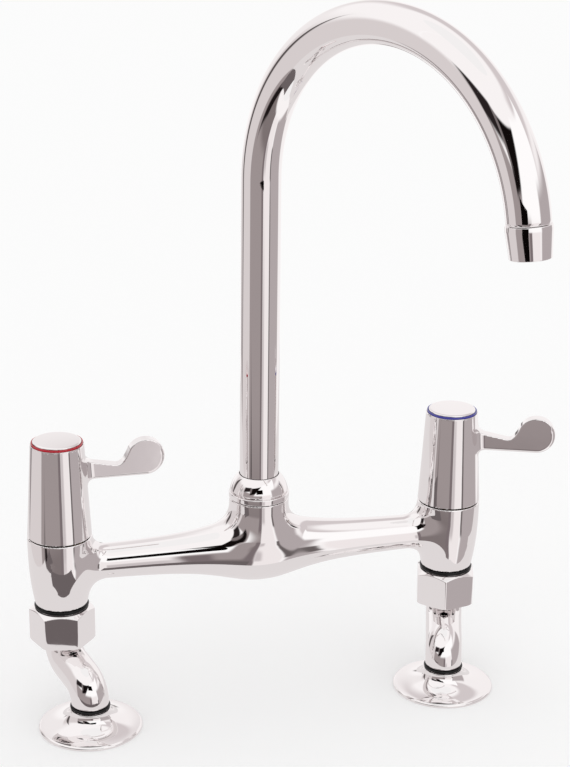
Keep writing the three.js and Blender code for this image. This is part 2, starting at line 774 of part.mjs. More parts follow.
// ---------------------------------------------------------------- spout
function spoutCollar() {
  const low = neckZ + gap;
  const hole = around(tubeRadius + gap);
  const thread = around(neckSpigotRadius + gap);
  const web = low + collarWebHeight + gap;
  const profile = [[thread, low], [collarRadius, low], [collarRadius, low + collarBead]];
  for (let i = 1; i <= curveSteps; i += 1) {
    const angle = (i / curveSteps) * (Math.PI / 2);
    profile.push([
      collarMouth + (collarShoulder - collarMouth) * Math.cos(angle) ** collarDome,
      low + collarBead + (collarTopHeight - collarBead) * Math.sin(angle),
    ]);
  }
  profile.push([hole, low + collarTopHeight], [hole, web], [thread, web]);
  return turned(profile);
}

const archPoint = (angle) => new THREE.Vector3(
  archRadius * (1 - Math.cos(angle)),
  0,
  archCentreZ + archRadius * Math.sin(angle),
);

// The spout runs straight up and then round the arch, in the XZ plane of its own group.
function spoutBar(low, beyond, radius, sides) {
  const up = new THREE.Vector3(0, 0, 1);
  const stations = [{ centre: new THREE.Vector3(0, 0, low), along: up, radius }];
  const steps = Math.round(archAngle / archStep);
  for (let i = 0; i <= steps; i += 1) {
    const angle = radians((archAngle * i) / steps);
    const along = new THREE.Vector3(Math.sin(angle), 0, Math.cos(angle));
    stations.push({ centre: archPoint(angle), along, radius });
  }
  if (beyond > 0) {
    const { centre, along } = stations[stations.length - 1];
    stations.push({ centre: centre.clone().addScaledVector(along, beyond), along, radius });
  }
  return bar(stations, new THREE.Vector3(0, 1, 0), sides);
}

function spoutTube() {
  const outside = spoutBar(tubeZ, 0, tubeRadius, tubeSides);
  const waterway = around(tubeRadius - tubeWall, smallSides);
  return cut(outside, spoutBar(tubeZ - overrun, overrun, waterway, smallSides));
}

const grooveZ = (index) => ferruleZ + sealGrooveRise + index * sealGroovePitch;

// The ferrule plugs into the tube's foot and carries two seal rings in the casting's socket.
function ferrule() {
  const headTop = ferruleZ + ferruleHeadHeight;
  const shank = tubeRadius - tubeWall - gap;
  const profile = [[ferruleBore, ferruleZ], [ferruleRadius, ferruleZ]];
  for (const index of [0, 1]) {
    const low = grooveZ(index);
    profile.push([ferruleRadius, low], [ferruleRadius - sealGrooveDepth, low]);
    profile.push([ferruleRadius - sealGrooveDepth, low + sealGrooveHeight]);
    profile.push([ferruleRadius, low + sealGrooveHeight]);
  }
  profile.push([ferruleRadius, headTop], [shank, headTop]);
  profile.push([shank, headTop + ferruleShankHeight], [ferruleBore, headTop + ferruleShankHeight]);
  return turned(profile, tubeSides);
}

function ferruleRing(index) {
  const low = grooveZ(index) + sealPlay;
  return roundRing(
    ferruleRadius - sealGrooveDepth + sealPlay, socketRadius - sealRim,
    low, low + sealGrooveHeight - 2 * sealPlay,
  );
}

// The aerator's pieces are drawn on the Z axis, with the end of the tube at 0 and the
// water running up.
function aeratorHousing() {
  const spigot = tubeRadius - tubeWall - gap;
  const shelf = aeratorLength - aeratorSeatDepth;
  return turned([
    [aeratorBore, -aeratorSpigotLength], [spigot, -aeratorSpigotLength], [spigot, gap],
    [aeratorTopRadius - aeratorEdge, gap], [aeratorTopRadius, gap + aeratorEdge],
    [aeratorTopRadius, aeratorBand], [aeratorBottomRadius, aeratorLength - aeratorEdge],
    [aeratorBottomRadius - aeratorEdge, aeratorLength], [aeratorSeat, aeratorLength],
    [aeratorSeat, shelf], [aeratorBore, shelf],
  ]);
}

const aeratorWasherZ = aeratorLength - aeratorSeatDepth + gap;

function aeratorInsert() {
  const low = aeratorWasherZ + aeratorWasherHeight + gap;
  const high = low + aeratorInsertHeight;
  const hole = () => disc(aeratorHoleRadius, low - overrun, high + overrun, ringSides);
  const holes = [hole()];
  for (let i = 0; i < aeratorHoles; i += 1) {
    const angle = (i * 2 * Math.PI) / aeratorHoles;
    holes.push(hole().translate(
      aeratorHoleCircle * Math.cos(angle), aeratorHoleCircle * Math.sin(angle), 0,
    ));
  }
  return cut(disc(aeratorSeat - gap, low, high, tubeSides), ...holes);
}

// ---------------------------------------------------------------- assembly
// Pieces of one valve, its handle, its leg and its foot. side is -1 for hot and 1 for cold.
function addSide(name, side, leverAngle, indexColour) {
  const valve = new THREE.Group();
  valve.position.x = side * valveX;
  mixer.add(valve);
  const fixed = (part, geometry, material) => piece(`${name}_${part}`, geometry, material, valve);
  fixed('headwork_body', headworkBody(), brass);
  fixed('headwork_o_ring', roundRing(
    chamberRadius - gap - headworkSealDepth + sealPlay, chamberRadius - sealRim,
    headworkSealZ, headworkSealZ + headworkSealHeight,
  ), rubber);
  fixed('fixed_disc', ceramicDisc(fixedDiscZ, true), ceramic);
  fixed('seat_seal', ring(
    seatSealBore, seatSealRadius, seatZ + gap, seatZ + gap + seatSealHeight, tubeSides,
  ), rubber);
  fixed('union_washer', ring(
    unionWasherBore, unionSpigotRadius,
    unionWasherZ, unionWasherZ + unionWasherHeight, tubeSides,
  ), rubber);
  fixed('union_ring', roundRing(
    unionSpigotRadius + ringPlay, unionRingRadius,
    nutTopZ + gap, nutTopZ + gap + unionRingHeight, roundSides,
  ), rubber);
  fixed('union_nut', unionNut(side < 0 ? hotNutAngle : coldNutAngle), chrome);
  fixed('crank_leg', leg(side), chrome);

  const handle = new THREE.Group();
  handle.rotation.z = radians(leverAngle);
  valve.add(handle);
  const turning = (part, geometry, material) =>
    piece(`${name}_${part}`, geometry, material, handle);
  turning('moving_disc', ceramicDisc(movingDiscZ, false), ceramic);
  turning('spindle', spindle(), brass);
  turning('spindle_o_ring', roundRing(
    spindleRadius - spindleGroove + sealPlay, spindleBore - sealRim,
    spindleRingZ, spindleRingZ + spindleRingHeight,
  ), rubber);
  turning('circlip', ring(
    spindleRadius - spindleGroove + gap, circlipRadius, circlipZ + sealGap,
    circlipZ + circlipHeight, smallSides,
  ), steel);
  turning('lever_handle', leverHandle(), chrome);
  turning('handle_screw', handleScrew(), steel);
  turning('index_ring', indexRing(), indexColour);
  turning('index_cap', indexCap(), chrome);

  const foot = new THREE.Group();
  foot.position.set(side * holeX, -footForward, 0);
  mixer.add(foot);
  const standing = (part, geometry, material) =>
    piece(`${name}_${part}`, geometry, material, foot);
  standing('foot_ring', roundRing(
    legSpigotRadius + ringPlay, footRingRadius,
    flangeHeight + gap, flangeHeight + gap + footRingHeight, tubeSides,
  ), rubber);
  standing('flange', flange(), chrome);
  standing('deck_seal', ring(
    deckSealBore, deckSealRadius, 0, deckSealHeight, tubeSides,
  ), rubber);
  standing('threaded_tail', tail(), brass);
  standing('under_deck_washer', ring(
    tailRadius + gap, underWasherRadius, underDeckZ - rubberWasherHeight, underDeckZ, tubeSides,
  ), rubber);
  standing('slip_washer', ring(
    tailRadius + gap, underWasherRadius, slipWasherZ - slipWasherHeight, slipWasherZ, tubeSides,
  ), steel);
  standing('backnut', backnut(), brass);
}

function addSpout() {
  piece('spout_collar', spoutCollar(), chrome);
  const spout = new THREE.Group();
  spout.rotation.z = radians(spoutAngle - 90);
  mixer.add(spout);
  piece('spout_tube', spoutTube(), chrome, spout);
  piece('spout_ferrule', ferrule(), brass, spout);
  piece('spout_o_ring_lower', ferruleRing(0), rubber, spout);
  piece('spout_o_ring_upper', ferruleRing(1), rubber, spout);
  piece('spout_bush', ring(
    tubeRadius + gap, socketRadius - gap, tubeZ, neckZ + collarWebHeight, tubeSides,
  ), nylon, spout);

  const outlet = new THREE.Group();
  outlet.position.copy(archPoint(radians(archAngle)));
  outlet.rotation.y = radians(archAngle);
  spout.add(outlet);
  piece('aerator_housing', aeratorHousing(), chrome, outlet);
  piece('aerator_washer', ring(
    aeratorBore - aeratorWasherLip, aeratorSeat - gap,
    aeratorWasherZ, aeratorWasherZ + aeratorWasherHeight, tubeSides,
  ), rubber, outlet);
  piece('aerator_insert', aeratorInsert(), nylon, outlet);
}

piece('bridge_casting', bridgeCasting(), chrome);
addSide('hot', -1, hotLeverAngle, redPlastic);
addSide('cold', 1, coldLeverAngle, bluePlastic);
addSpout();

export default mixer;
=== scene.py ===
"""Looks of a two-lever bridge mixer: every shown surface is worked out here with numpy, in
millimetres in the part's own frame, and rides on the packed model's bodies."""

import json
import math

import bpy
import numpy as np
from mathutils import Matrix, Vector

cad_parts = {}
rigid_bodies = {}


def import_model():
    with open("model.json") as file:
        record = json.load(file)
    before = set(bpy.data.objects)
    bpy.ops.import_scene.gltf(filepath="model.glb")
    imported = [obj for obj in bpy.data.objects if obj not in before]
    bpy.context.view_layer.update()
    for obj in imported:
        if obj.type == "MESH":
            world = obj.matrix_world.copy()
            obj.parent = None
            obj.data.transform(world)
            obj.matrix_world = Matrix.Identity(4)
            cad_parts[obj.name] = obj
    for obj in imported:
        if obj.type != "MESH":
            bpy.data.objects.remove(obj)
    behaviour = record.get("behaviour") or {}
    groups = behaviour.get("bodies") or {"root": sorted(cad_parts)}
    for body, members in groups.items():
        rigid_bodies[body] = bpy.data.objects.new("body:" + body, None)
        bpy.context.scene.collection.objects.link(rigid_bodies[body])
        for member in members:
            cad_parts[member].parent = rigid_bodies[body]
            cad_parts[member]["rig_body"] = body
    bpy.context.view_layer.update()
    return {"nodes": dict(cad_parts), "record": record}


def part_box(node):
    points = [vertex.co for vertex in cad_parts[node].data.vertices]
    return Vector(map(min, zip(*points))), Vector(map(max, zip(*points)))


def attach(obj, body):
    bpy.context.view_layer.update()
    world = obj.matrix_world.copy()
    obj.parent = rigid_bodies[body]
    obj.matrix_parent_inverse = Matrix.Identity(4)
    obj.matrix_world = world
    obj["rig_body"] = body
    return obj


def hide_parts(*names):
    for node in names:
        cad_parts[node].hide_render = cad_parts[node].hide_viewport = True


bl_info = {
    "name": "Bridge Kitchen Faucet",
    "version": (1, 0, 0),
    "blender": (4, 5, 0),
    "location": "3D View > Sidebar > Faucet",
    "description": "Builds the polished pieces of a bridge kitchen faucet on its packed frame",
    "category": "Object",
}

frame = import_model()
SLOTS = {part["node"]: part["material_slot"] for part in frame["record"]["subparts"]}

MM = 0.001
SIDES = (("hot", -1), ("cold", 1))
TOP, FOOT = True, False
# The play between pieces that fit in one another, and the seam under a handle, in millimetres.
PLAY, SEAM = 0.3, 0.6
# Heights above the deck that no CAD box gives, in millimetres: the top of the casting's neck,
# a valve body's underside and the foot of a leg's bend.
NECK_TOP, VALVE_FOOT, LEG_FOOT = 101.4, 55.1, 12.4


def level(node, top):
    """Height of a CAD node's top or foot above the deck, in millimetres."""
    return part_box(node)[1 if top else 0][2] / MM


# ---- sizes and colours to change

def linear(hex_colour):
    """Linear colour of an sRGB hex value, by the sRGB transfer curve."""
    value = np.array([int(hex_colour[i:i + 2], 16) for i in (1, 3, 5)]) / 255
    low = value / 12.92
    high = ((value + 0.055) / 1.055) ** 2.4
    return tuple(float(v) for v in np.where(value <= 0.04045, low, high)) + (1.0,)


def length(name, description, default):
    """A size in metres that a user can change."""
    return bpy.props.FloatProperty(
        name=name, description=description, default=default, min=0, unit="LENGTH", precision=5)


def angle(name, description, degrees):
    """An angle that a user can change."""
    return bpy.props.FloatProperty(
        name=name, description=description, default=math.radians(degrees), unit="ROTATION")


def colour(name, description, hex_colour):
    """A colour that a user can change."""
    return bpy.props.FloatVectorProperty(
        name=name, description=description, default=linear(hex_colour), size=4,
        subtype="COLOR", min=0, max=1)


class FaucetCastingSizes(bpy.types.PropertyGroup):
    """Sizes of the bridge casting"""
    valve_x: length("Valve distance", "From the spout's axis to a valve's axis", 0.0988)
    arm_z: length("Arm height", "Height of the arms' axis above the deck", 0.0744)
    valve_foot: length("Valve foot radius", "Radius of a valve body at its foot", 0.0127)
    valve_top: length("Valve top radius", "Radius of a valve body at its top", 0.0156)
    arm: length("Arm radius", "Radius of the slim part of an arm", 0.0079)
    boss: length("Boss radius", "Half the height of the swollen middle", 0.0166)
    boss_spread: length("Boss spread", "Distance at which half the swelling is left", 0.0252)
    neck: length("Neck radius", "Radius of the upright neck", 0.01465)
    valve_fillet: length("Valve fillet", "Width of the blend from an arm into a valve", 0.0085)
    neck_fillet: length("Neck fillet", "Width of the blend from the arms into the neck", 0.0095)


class FaucetHandleSizes(bpy.types.PropertyGroup):
    """Sizes of the lever handles and their caps"""
    foot: length("Shell foot radius", "Radius of a handle's shell at its foot", 0.0155)
    top: length("Shell top radius", "Radius of a handle's shell at its top", 0.01285)
    reach: length("Lever reach", "From a handle's axis to the tip of its paddle", 0.0516)
    paddle: length("Paddle radius", "Radius of the round paddle", 0.0092)
    rise: length("Lever rise", "From the shell's foot to the middle of the paddle", 0.0368)
    thickness: length("Lever thickness", "Thickness of a lever, across its flat faces", 0.0056)
    crisp: length("Upper edge", "Rounding of a lever's upper edges", 0.0004)
    soft: length("Lower edge", "Rounding of a lever's lower and outer edges", 0.0018)
    root_fillet: length("Root fillet", "Width of the blend from a lever into its shell", 0.004)
    lip: length("Shell lip", "Height of the shell's rim round its index ring", 0.0004)
    hot_angle: angle("Hot lever angle", "How the hot lever stands, from +X", 0)
    cold_angle: angle("Cold lever angle", "How the cold lever stands, from +X", -22)


class FaucetSpoutSizes(bpy.types.PropertyGroup):
    """Sizes of the swan-neck spout, its collar and its aerator"""
    tube: length("Tube radius", "Outside radius of the spout tube", 0.0095)
    wall: length("Tube wall", "Thickness of the spout tube's wall", 0.001)
    arch: length("Arch radius", "Radius of the swan neck's centre line", 0.0816)
    arch_z: length("Arch height", "Height of the middle of the swan neck's arc", 0.2614)
    turn: angle("Arch turn", "Angle that the swan neck turns through", 172)
    forward: angle("Spout angle", "How the spout stands, from +X", -62)
    collar: length("Collar radius", "Radius of the band at the collar's foot", 0.0148)


class FaucetFootSizes(bpy.types.PropertyGroup):
    """Sizes of the unions, legs, flanges and tails"""
    hole_x: length("Tap hole distance", "From the middle to a tap hole, along the bridge", 0.090)
    forward: length("Foot distance", "How far the feet stand in front of the valves", 0.027)
    flats: length("Nut across flats", "Size of a union nut across its flats", 0.028)
    leg: length("Leg radius", "Outside radius of a cranked leg", 0.0091)
    bend: length("Bend radius", "Radius of a leg's two bends", 0.0104)
    flange: length("Flange radius", "Radius of a flange's rim", 0.025)
    thread: length("Thread pitch", "From one turn of a tail's thread to the next", 0.001814)


class FaucetColours(bpy.types.PropertyGroup):
    """Colours of the finishes"""
    chrome: colour("Chrome", "Polished chrome plate", "#F2EFEF")
    brass: colour("Brass", "Machined brass", "#C9A25A")
    steel: colour("Steel", "Turned stainless steel", "#B9BBBE")
    ceramic: colour("Ceramic", "Ground alumina", "#F1EEE6")
    rubber: colour("Rubber", "Black nitrile rubber", "#0C0C0D")
    nylon: colour("Nylon", "Natural nylon", "#DCDCD2")
    hot: colour("Hot ring", "Index ring of the hot lever", "#B51E2E")
    cold: colour("Cold ring", "Index ring of the cold lever", "#43429A")


class FaucetStudioSettings(bpy.types.PropertyGroup):
    """Settings of the studio"""
    light: bpy.props.FloatProperty(
        name="Light", description="Strength of the soft light all round", default=0.97, min=0)
    floor: colour("Floor", "Plain pale floor", "#FFFFFF")
    room: length("Room", "Distance of the walls that the chrome mirrors", 1.0)
    # The brightness of the drum's painted reflections.
    shine: bpy.props.FloatProperty(
        name="Shine", description="Brightness of those walls", default=1.12, min=0)


# ---- surfaces as arrays

def grid_normals(points, rows_wrap):
    """Normals of a grid of points: the cross product of its central differences along rows and
    columns. Columns always wrap. A row that is one point takes the mean normal next to it."""
    across = np.roll(points, -1, 1) - np.roll(points, 1, 1)
    padded = np.pad(points, ((1, 1), (0, 0), (0, 0)), "wrap" if rows_wrap else "edge")
    normals = np.cross(padded[2:] - padded[:-2], across)
    size = np.linalg.norm(normals, axis=2, keepdims=True)
    normals = normals / np.maximum(size, 1e-12)
    for pole in np.flatnonzero(size[:, :, 0].max(1) < 1e-9):
        beside = normals[pole + 1 if pole == 0 else pole - 1].mean(0)
        normals[pole] = beside / np.linalg.norm(beside)
    return normals


def outward(vertices, faces, normals):
    """The same surface with its faces turned outwards, which makes the sum of the triple
    products of their triangles' corners positive, and its normals on their side."""
    a, b, c, d = (vertices[faces[:, i]] for i in range(4))
    flat = np.cross(c - a, d - b)
    if np.einsum("ij,ij", a, np.cross(b - d, c)) < 0:
        faces, flat = faces[:, ::-1], -flat
    side = np.zeros(len(vertices))
    along = np.einsum("ij,ij->i", flat, normals[faces].mean(1))
    np.add.at(side, faces.ravel(), np.repeat(along, 4))
    return vertices, faces, np.where(side[:, None] < 0, -normals, normals)


def sheet(points, rows_wrap=False):
    """Closed surface through a grid of points whose columns wrap. Points that fall together, at
    poles, become one."""
    normals = grid_normals(points, rows_wrap).reshape(-1, 3)
    index = np.arange(points[..., 0].size).reshape(points.shape[:2])
    below = index if rows_wrap else index[:-1]
    above = np.roll(index, -1, 0) if rows_wrap else index[1:]
    faces = np.stack([below, np.roll(below, -1, 1), np.roll(above, -1, 1), above], axis=2)
    flat = points.reshape(-1, 3)
    _, first, same = np.unique(
        np.round(flat, 5), axis=0, return_index=True, return_inverse=True)
    return outward(flat[first], same.reshape(-1)[faces.reshape(-1, 4)], normals[first])


def together(*shapes):
    """Several surfaces as one."""
    vertices, faces, normals = zip(*shapes)
    starts = np.cumsum([0] + [len(part) for part in vertices[:-1]])
    return (np.concatenate(vertices), np.concatenate([f + s for f, s in zip(faces, starts)]),
            np.concatenate(normals))


def placed(shape, turn_z=0.0, move=(0, 0, 0), turn_y=0.0):
    """A surface turned about Y, then about Z, then moved."""
    cy, sy, cz, sz = math.cos(turn_y), math.sin(turn_y), math.cos(turn_z), math.sin(turn_z)
    about_y = np.array([[cy, 0, sy], [0, 1, 0], [-sy, 0, cy]])
    about_z = np.array([[cz, -sz, 0], [sz, cz, 0], [0, 0, 1]])
    turn = (about_z @ about_y).T
    return shape[0] @ turn + np.asarray(move, float), shape[1], shape[2] @ turn


def eased(profile, radius, loop=False, steps=6):
    """Profile with softened corners: a parabola tangent to both sides of each corner, which
    starts a radius away from it, or 45% along the shorter side."""
    points = np.asarray(profile, float)
    ways = [np.roll(points, shift, 0) - points for shift in (1, -1)]
    sizes = [np.linalg.norm(way, axis=1) for way in ways]
    reach = np.minimum(radius, 0.45 * np.minimum(*sizes))
    start, end = (points + way * (reach / size)[:, None] for way, size in zip(ways, sizes))
    s = np.linspace(0, 1, steps)[None, :, None]
    curve = ((1 - s) ** 2 * start[:, None] + 2 * s * (1 - s) * points[:, None]
             + s ** 2 * end[:, None])
    if not loop:
        curve = np.concatenate([points[:1], curve[1:-1].reshape(-1, 2), points[-1:]])
    curve = curve.reshape(-1, 2)
    return curve[np.linalg.norm(curve - np.roll(curve, 1, 0), axis=1) > 1e-6]


def around(radius, height, turn):
    """Points at a radius, a height and an angle about the Z axis."""
    return np.stack(np.broadcast_arrays(
        radius * np.cos(turn), radius * np.sin(turn), height), axis=-1)


def turned(profile, loop=False, sides=96):
    """Surface of revolution: each [radius, height] of the profile carried round the Z axis."""
    profile = np.asarray(profile, float)
    turn = np.linspace(0, 2 * np.pi, sides, endpoint=False)
    return sheet(around(profile[:, :1], profile[:, 1:], turn), loop)


def eased_ring(profile, ease, steps=5, sides=128):
    """A closed profile with eased corners, carried round the Z axis."""
    return turned(eased(profile, ease, True, steps), True, sides)


def washer(inner, outer, low, high, ease):
    """A washer or band: a rectangle with eased corners carried round the Z axis."""
    return eased_ring([[inner, low], [outer, low], [outer, high], [inner, high]], ease, 4, 96)


def o_ring(inner, outer, low, high):
    """A ring of oval section: an ellipse carried round the Z axis."""
    turn = np.linspace(0, 2 * np.pi, 24, endpoint=False)
    return turned(np.stack([
        (inner + outer) / 2 + (outer - inner) / 2 * np.cos(turn),
        (low + high) / 2 + (high - low) / 2 * np.sin(turn)], axis=1), True)


def hex_radius(turn, flats, crispness=70):
    """Radius of a hexagon at each angle: half its flats over the sum of the cosines to its six
    faces, each to a high power, whose root rounds the corners a little."""
    face = np.arange(6) * np.pi / 3
    cosine = np.maximum(np.cos(turn[..., None] - face), 0)
    return flats / 2 / (cosine ** crispness).sum(-1) ** (1 / crispness)


def blend_min(a, b, width):
    """The smaller of two values, with a parabola across the crossing, width wide."""
    near = np.maximum(width - np.abs(a - b), 0) / width
    return np.minimum(a, b) - near ** 2 * width / 4


def hex_nut(flats, low, high, bore, chamfers, turn_z=0.0):
    """A nut: a loop profile with chamfered ends, carried round Z, whose radius is nowhere more
    than the hexagon's. The angles crowd towards the six corners. The chamfers are the heights
    of the lower and the upper one, which reach inwards by so many times as much, and the bore's
    two rims are broken."""
    corner, rim, reach, flat = flats / math.sqrt(3), 0.4, 1.6, 1.9
    below, above = chamfers
    wall = np.linspace(low + below, high - above, 12)[1:-1]
    s = np.linspace(0, 1, 16)
    profile = np.concatenate([
        [[bore, low + rim], [bore + rim, low], [corner - below * flat, low]],
        np.stack([corner - below * reach * (1 - s), low + below * s], axis=1),
        np.stack([np.full(len(wall), corner), wall], axis=1),
        np.stack([corner - above * reach * s, high - above * (1 - s)], axis=1),
        [[corner - above * flat, high], [bore + rim, high], [bore, high - rim]],
    ])
    part = np.linspace(-1, 1, 25)[:-1]
    turn = (np.pi / 6 * np.sin(part * np.pi / 2) + (np.arange(6) * np.pi / 3)[:, None]).ravel()
    radius = profile[:, :1] + 0 * turn
    radius = np.where(radius <= bore + 0.5, radius,
                      blend_min(radius, hex_radius(turn, flats)[None, :], 0.35))
    return placed(sheet(around(radius, profile[:, 1:], turn), True), turn_z)


def swept(centres, directions, radii, sideways, sides=96):
    """Rings carried along a flat path: each stands square to the path's direction there, which
    with sideways and their cross product makes its axes."""
    outwards = np.cross(sideways, directions)
    outwards /= np.linalg.norm(outwards, axis=1, keepdims=True)
    turn = np.linspace(0, 2 * np.pi, sides, endpoint=False)
    radii = np.asarray(radii, float)[:, None, None]
    return centres[:, None] + radii * (
        np.cos(turn)[None, :, None] * outwards[:, None]
        + np.sin(turn)[None, :, None] * np.asarray(sideways, float))


# ---- surfaces from a field

def slopes(field, points, step=0.01):
    """Gradient of a field by central differences."""
    return np.stack([(field(points + axis) - field(points - axis)) / (2 * step)
                     for axis in np.eye(3) * step], axis=-1)


def sliced(axis, part):
    """Index that takes part of one axis and all of the others."""
    return tuple(part if i == axis else slice(None) for i in range(3))


def skin(field, low, high, step):
    """Closed surface where a field is zero. A box of cells is laid over it; every cell that the
    surface crosses gets a point, the mean of where its edges are crossed, and every crossed
    edge joins the points of its four cells. The points then move along the gradient until the
    field there is zero, and the gradient is their normal."""
    axes = [np.arange(a, b + step, step) for a, b in zip(low, high)]
    corner = np.stack(np.meshgrid(*axes, indexing="ij"), axis=-1)
    value = np.stack([field(layer) for layer in corner])
    inside = value < 0
    cells = np.array(value.shape) - 1
    total, count = np.zeros((*cells, 3)), np.zeros(cells)
    crossings, quads = [], []
    for axis in range(3):
        first, second = sliced(axis, slice(None, -1)), sliced(axis, slice(1, None))
        a, b = value[first], value[second]
        crossed = inside[first] != inside[second]
        share = np.where(crossed, a / np.where(crossed, a - b, 1), 0)
        spot = (corner[first] + share[..., None] * np.eye(3)[axis] * step) * crossed[..., None]
        others = [i for i in range(3) if i != axis]
        for shift in ((0, 0), (0, 1), (1, 0), (1, 1)):
            part = [slice(None)] * 3
            for other, start in zip(others, shift):
                part[other] = slice(start, cells[other] + start)
            total += spot[tuple(part)]
            count += crossed[tuple(part)]
        crossings.append((axis, others, crossed, inside[first]))
    active = count > 0
    number = np.full(cells, -1)
    number[active] = np.arange(active.sum())
    for axis, others, crossed, starts_inside in crossings:
        at = np.argwhere(crossed)
        at = at[np.all((at[:, others] > 0) & (at[:, others] < cells[others]), axis=1)]
        ring = []
        for back in ((0, 0), (1, 0), (1, 1), (0, 1)):
            cell = at.copy()
            cell[:, others] -= back
            ring.append(number[tuple(cell.T)])
        quad = np.stack(ring, axis=1)
        flip = starts_inside[tuple(at.T)] == (axis == 1)
        quads.append(np.where(flip[:, None], quad[:, ::-1], quad))
    vertices = total[active] / count[active][:, None]
    faces = np.concatenate(quads)
    for _ in range(5):
        slope = slopes(field, vertices)
        steepness = np.maximum((slope ** 2).sum(-1), 0.25)
        vertices -= np.clip(field(vertices) / steepness, -step, step)[:, None] * slope
    slope = slopes(field, vertices)
    normals = slope / np.maximum(np.linalg.norm(slope, axis=-1, keepdims=True), 1e-9)
    return outward(vertices, faces, normals)


def upright(points, x, radius, low, high, ease):
    """Signed distance to an upright round bar in the plane y = 0, whose rims are eased."""
    side = np.hypot(points[..., 0] - x, points[..., 1]) - radius
    return rounded_max(side, np.maximum(low - points[..., 2], points[..., 2] - high), ease)


def rounded_max(a, b, ease):
    """The larger of two signed distances, with the edge between them rounded."""
    outside = np.hypot(np.maximum(a + ease, 0), np.maximum(b + ease, 0))
    return np.minimum(np.maximum(a, b), -ease) + outside


# ---- materials

def node(tree, kind, settings=None, inputs=None):
    """Adds a node; settings are its own values, inputs its sockets' values or the sockets that
    feed them."""
    made = tree.nodes.new(kind)
    for key, value in (settings or {}).items():
        setattr(made, key, value)
    for key, value in (inputs or {}).items():
        if isinstance(value, bpy.types.NodeSocket):
            tree.links.new(value, made.inputs[key])
        else:
            made.inputs[key].default_value = value
    return made


def surface_material(name, colour_value, metallic, roughness, specular=0.5):
    """A material with its uniform values on the shader's own sockets, and its shader."""
    made = bpy.data.materials.new(name)
    made.use_nodes = True
    made.diffuse_color = colour_value
    shader = made.node_tree.nodes["Principled BSDF"]
    for socket, value in (("Base Color", colour_value), ("Metallic", metallic),
                          ("Roughness", roughness), ("Specular IOR Level", specular)):
        shader.inputs[socket].default_value = value
    return made, shader


def object_noise(tree, per_mm, detail=2.0, rough=0.5, stretch=(1, 1, 1)):
    """Noise on Object coordinates with so many cells to a millimetre."""
    place = node(tree, "ShaderNodeTexCoord").outputs["Object"]
    scaled = node(tree, "ShaderNodeMapping", None, {"Vector": place, "Scale": stretch})
    return node(tree, "ShaderNodeTexNoise", None, {
        "Vector": scaled.outputs["Vector"], "Scale": per_mm * 1000, "Detail": detail,
        "Roughness": rough})


def glossed(tree, shader, noise, low, high, start=0.3, end=0.7):
    """Lets a noise move the roughness from low to high while it goes from start to end."""
    gloss = node(tree, "ShaderNodeMapRange", None, {
        "Value": noise.outputs["Fac"], "From Min": start, "From Max": end,
        "To Min": low, "To Max": high})
    tree.links.new(gloss.outputs["Result"], shader.inputs["Roughness"])


def bumped(tree, shader, noise, depth_mm):
    """Lets a noise raise and lower the surface, so many millimetres deep."""
    bump = node(tree, "ShaderNodeBump", None, {
        "Height": noise.outputs["Fac"], "Distance": depth_mm * MM, "Strength": 1.0})
    tree.links.new(bump.outputs["Normal"], shader.inputs["Normal"])


def polished_chrome_plate(tree, shader, wave_mm, wave_depth):
    """Bright chrome over buffed brass: a mirror whose image wavers a little over a casting and
    carries a very faint haze from buffing and handling."""
    glossed(tree, shader, object_noise(tree, 0.12, 3, 0.6), 0.015, 0.05, 0.3, 0.75)
    bumped(tree, shader, object_noise(tree, 1 / wave_mm, 1, 0.4), wave_depth)


def machined_marks(tree, shader, low, high):
    """Turned metal: fine rings left by the tool across the axis, in roughness and height. They
    are drawn 0.25 mm apart, coarser than real ones, so that they show."""
    rings = object_noise(tree, 0.2, 2, 0.5, (1, 1, 20))
    glossed(tree, shader, rings, low, high)
    bumped(tree, shader, rings, 0.02)


def moulded_skin(tree, shader, low, high, grain_mm, depth_mm):
    """Moulded rubber or plastic: a faint grain in height and patchy gloss."""
    glossed(tree, shader, object_noise(tree, 0.3, 2), low, high)
    bumped(tree, shader, object_noise(tree, 1 / grain_mm, 2), depth_mm)


# Each finish: the record's slot that it is for, its name, its colour, metallic, roughness,
# specular level, its pattern and the pattern's settings.
FINISHES = (
    # Chrome over a cast and buffed surface, with long shallow waves in its mirror.
    ("polished_chrome", "chrome_on_casting", "chrome", 1, 0.05, 0.5,
     polished_chrome_plate, (9, 0.012)),
    # Chrome over the handles, which are buffed by hand, so that their flat faces waver more.
    (None, "chrome_on_handle", "chrome", 1, 0.05, 0.5, polished_chrome_plate, (7, 0.02)),
    # Chrome over drawn tube: nearly a true mirror.
    (None, "chrome_on_tube", "chrome", 1, 0.04, 0.5, polished_chrome_plate, (14, 0.004)),
    # Brass left as the lathe left it, softly shining.
    ("machined_brass", "machined_brass", "brass", 1, 0.3, 0.5, machined_marks, (0.22, 0.38)),
    # Stainless steel washers and screws, turned or stamped.
    ("stainless_steel", "turned_stainless_steel", "steel", 1, 0.3, 0.5,
     machined_marks, (0.24, 0.36)),
    # Alumina ground flat: matt white with a fine grain.
    ("ground_ceramic", "ground_alumina", "ceramic", 0, 0.35, 0.5,
     moulded_skin, (0.3, 0.42, 0.5, 0.006)),
    # Nitrile rubber seals: near black, with the narrow weak sheen of a moulded skin.
    ("black_rubber", "nitrile_rubber", "rubber", 0, 0.2, 0.25,
     moulded_skin, (0.16, 0.26, 0.6, 0.004)),
    # Natural nylon, slightly yellow and waxy.
    ("white_nylon", "natural_nylon", "nylon", 0, 0.45, 0.5, moulded_skin, (0.4, 0.52, 0.8, 0.01)),
    # ABS index rings, moulded glossy.
    ("red_plastic", "red_abs", "hot", 0, 0.2, 0.5, moulded_skin, (0.16, 0.26, 0.9, 0.004)),
    ("blue_plastic", "blue_abs", "cold", 0, 0.2, 0.5, moulded_skin, (0.16, 0.26, 0.9, 0.004)),
)


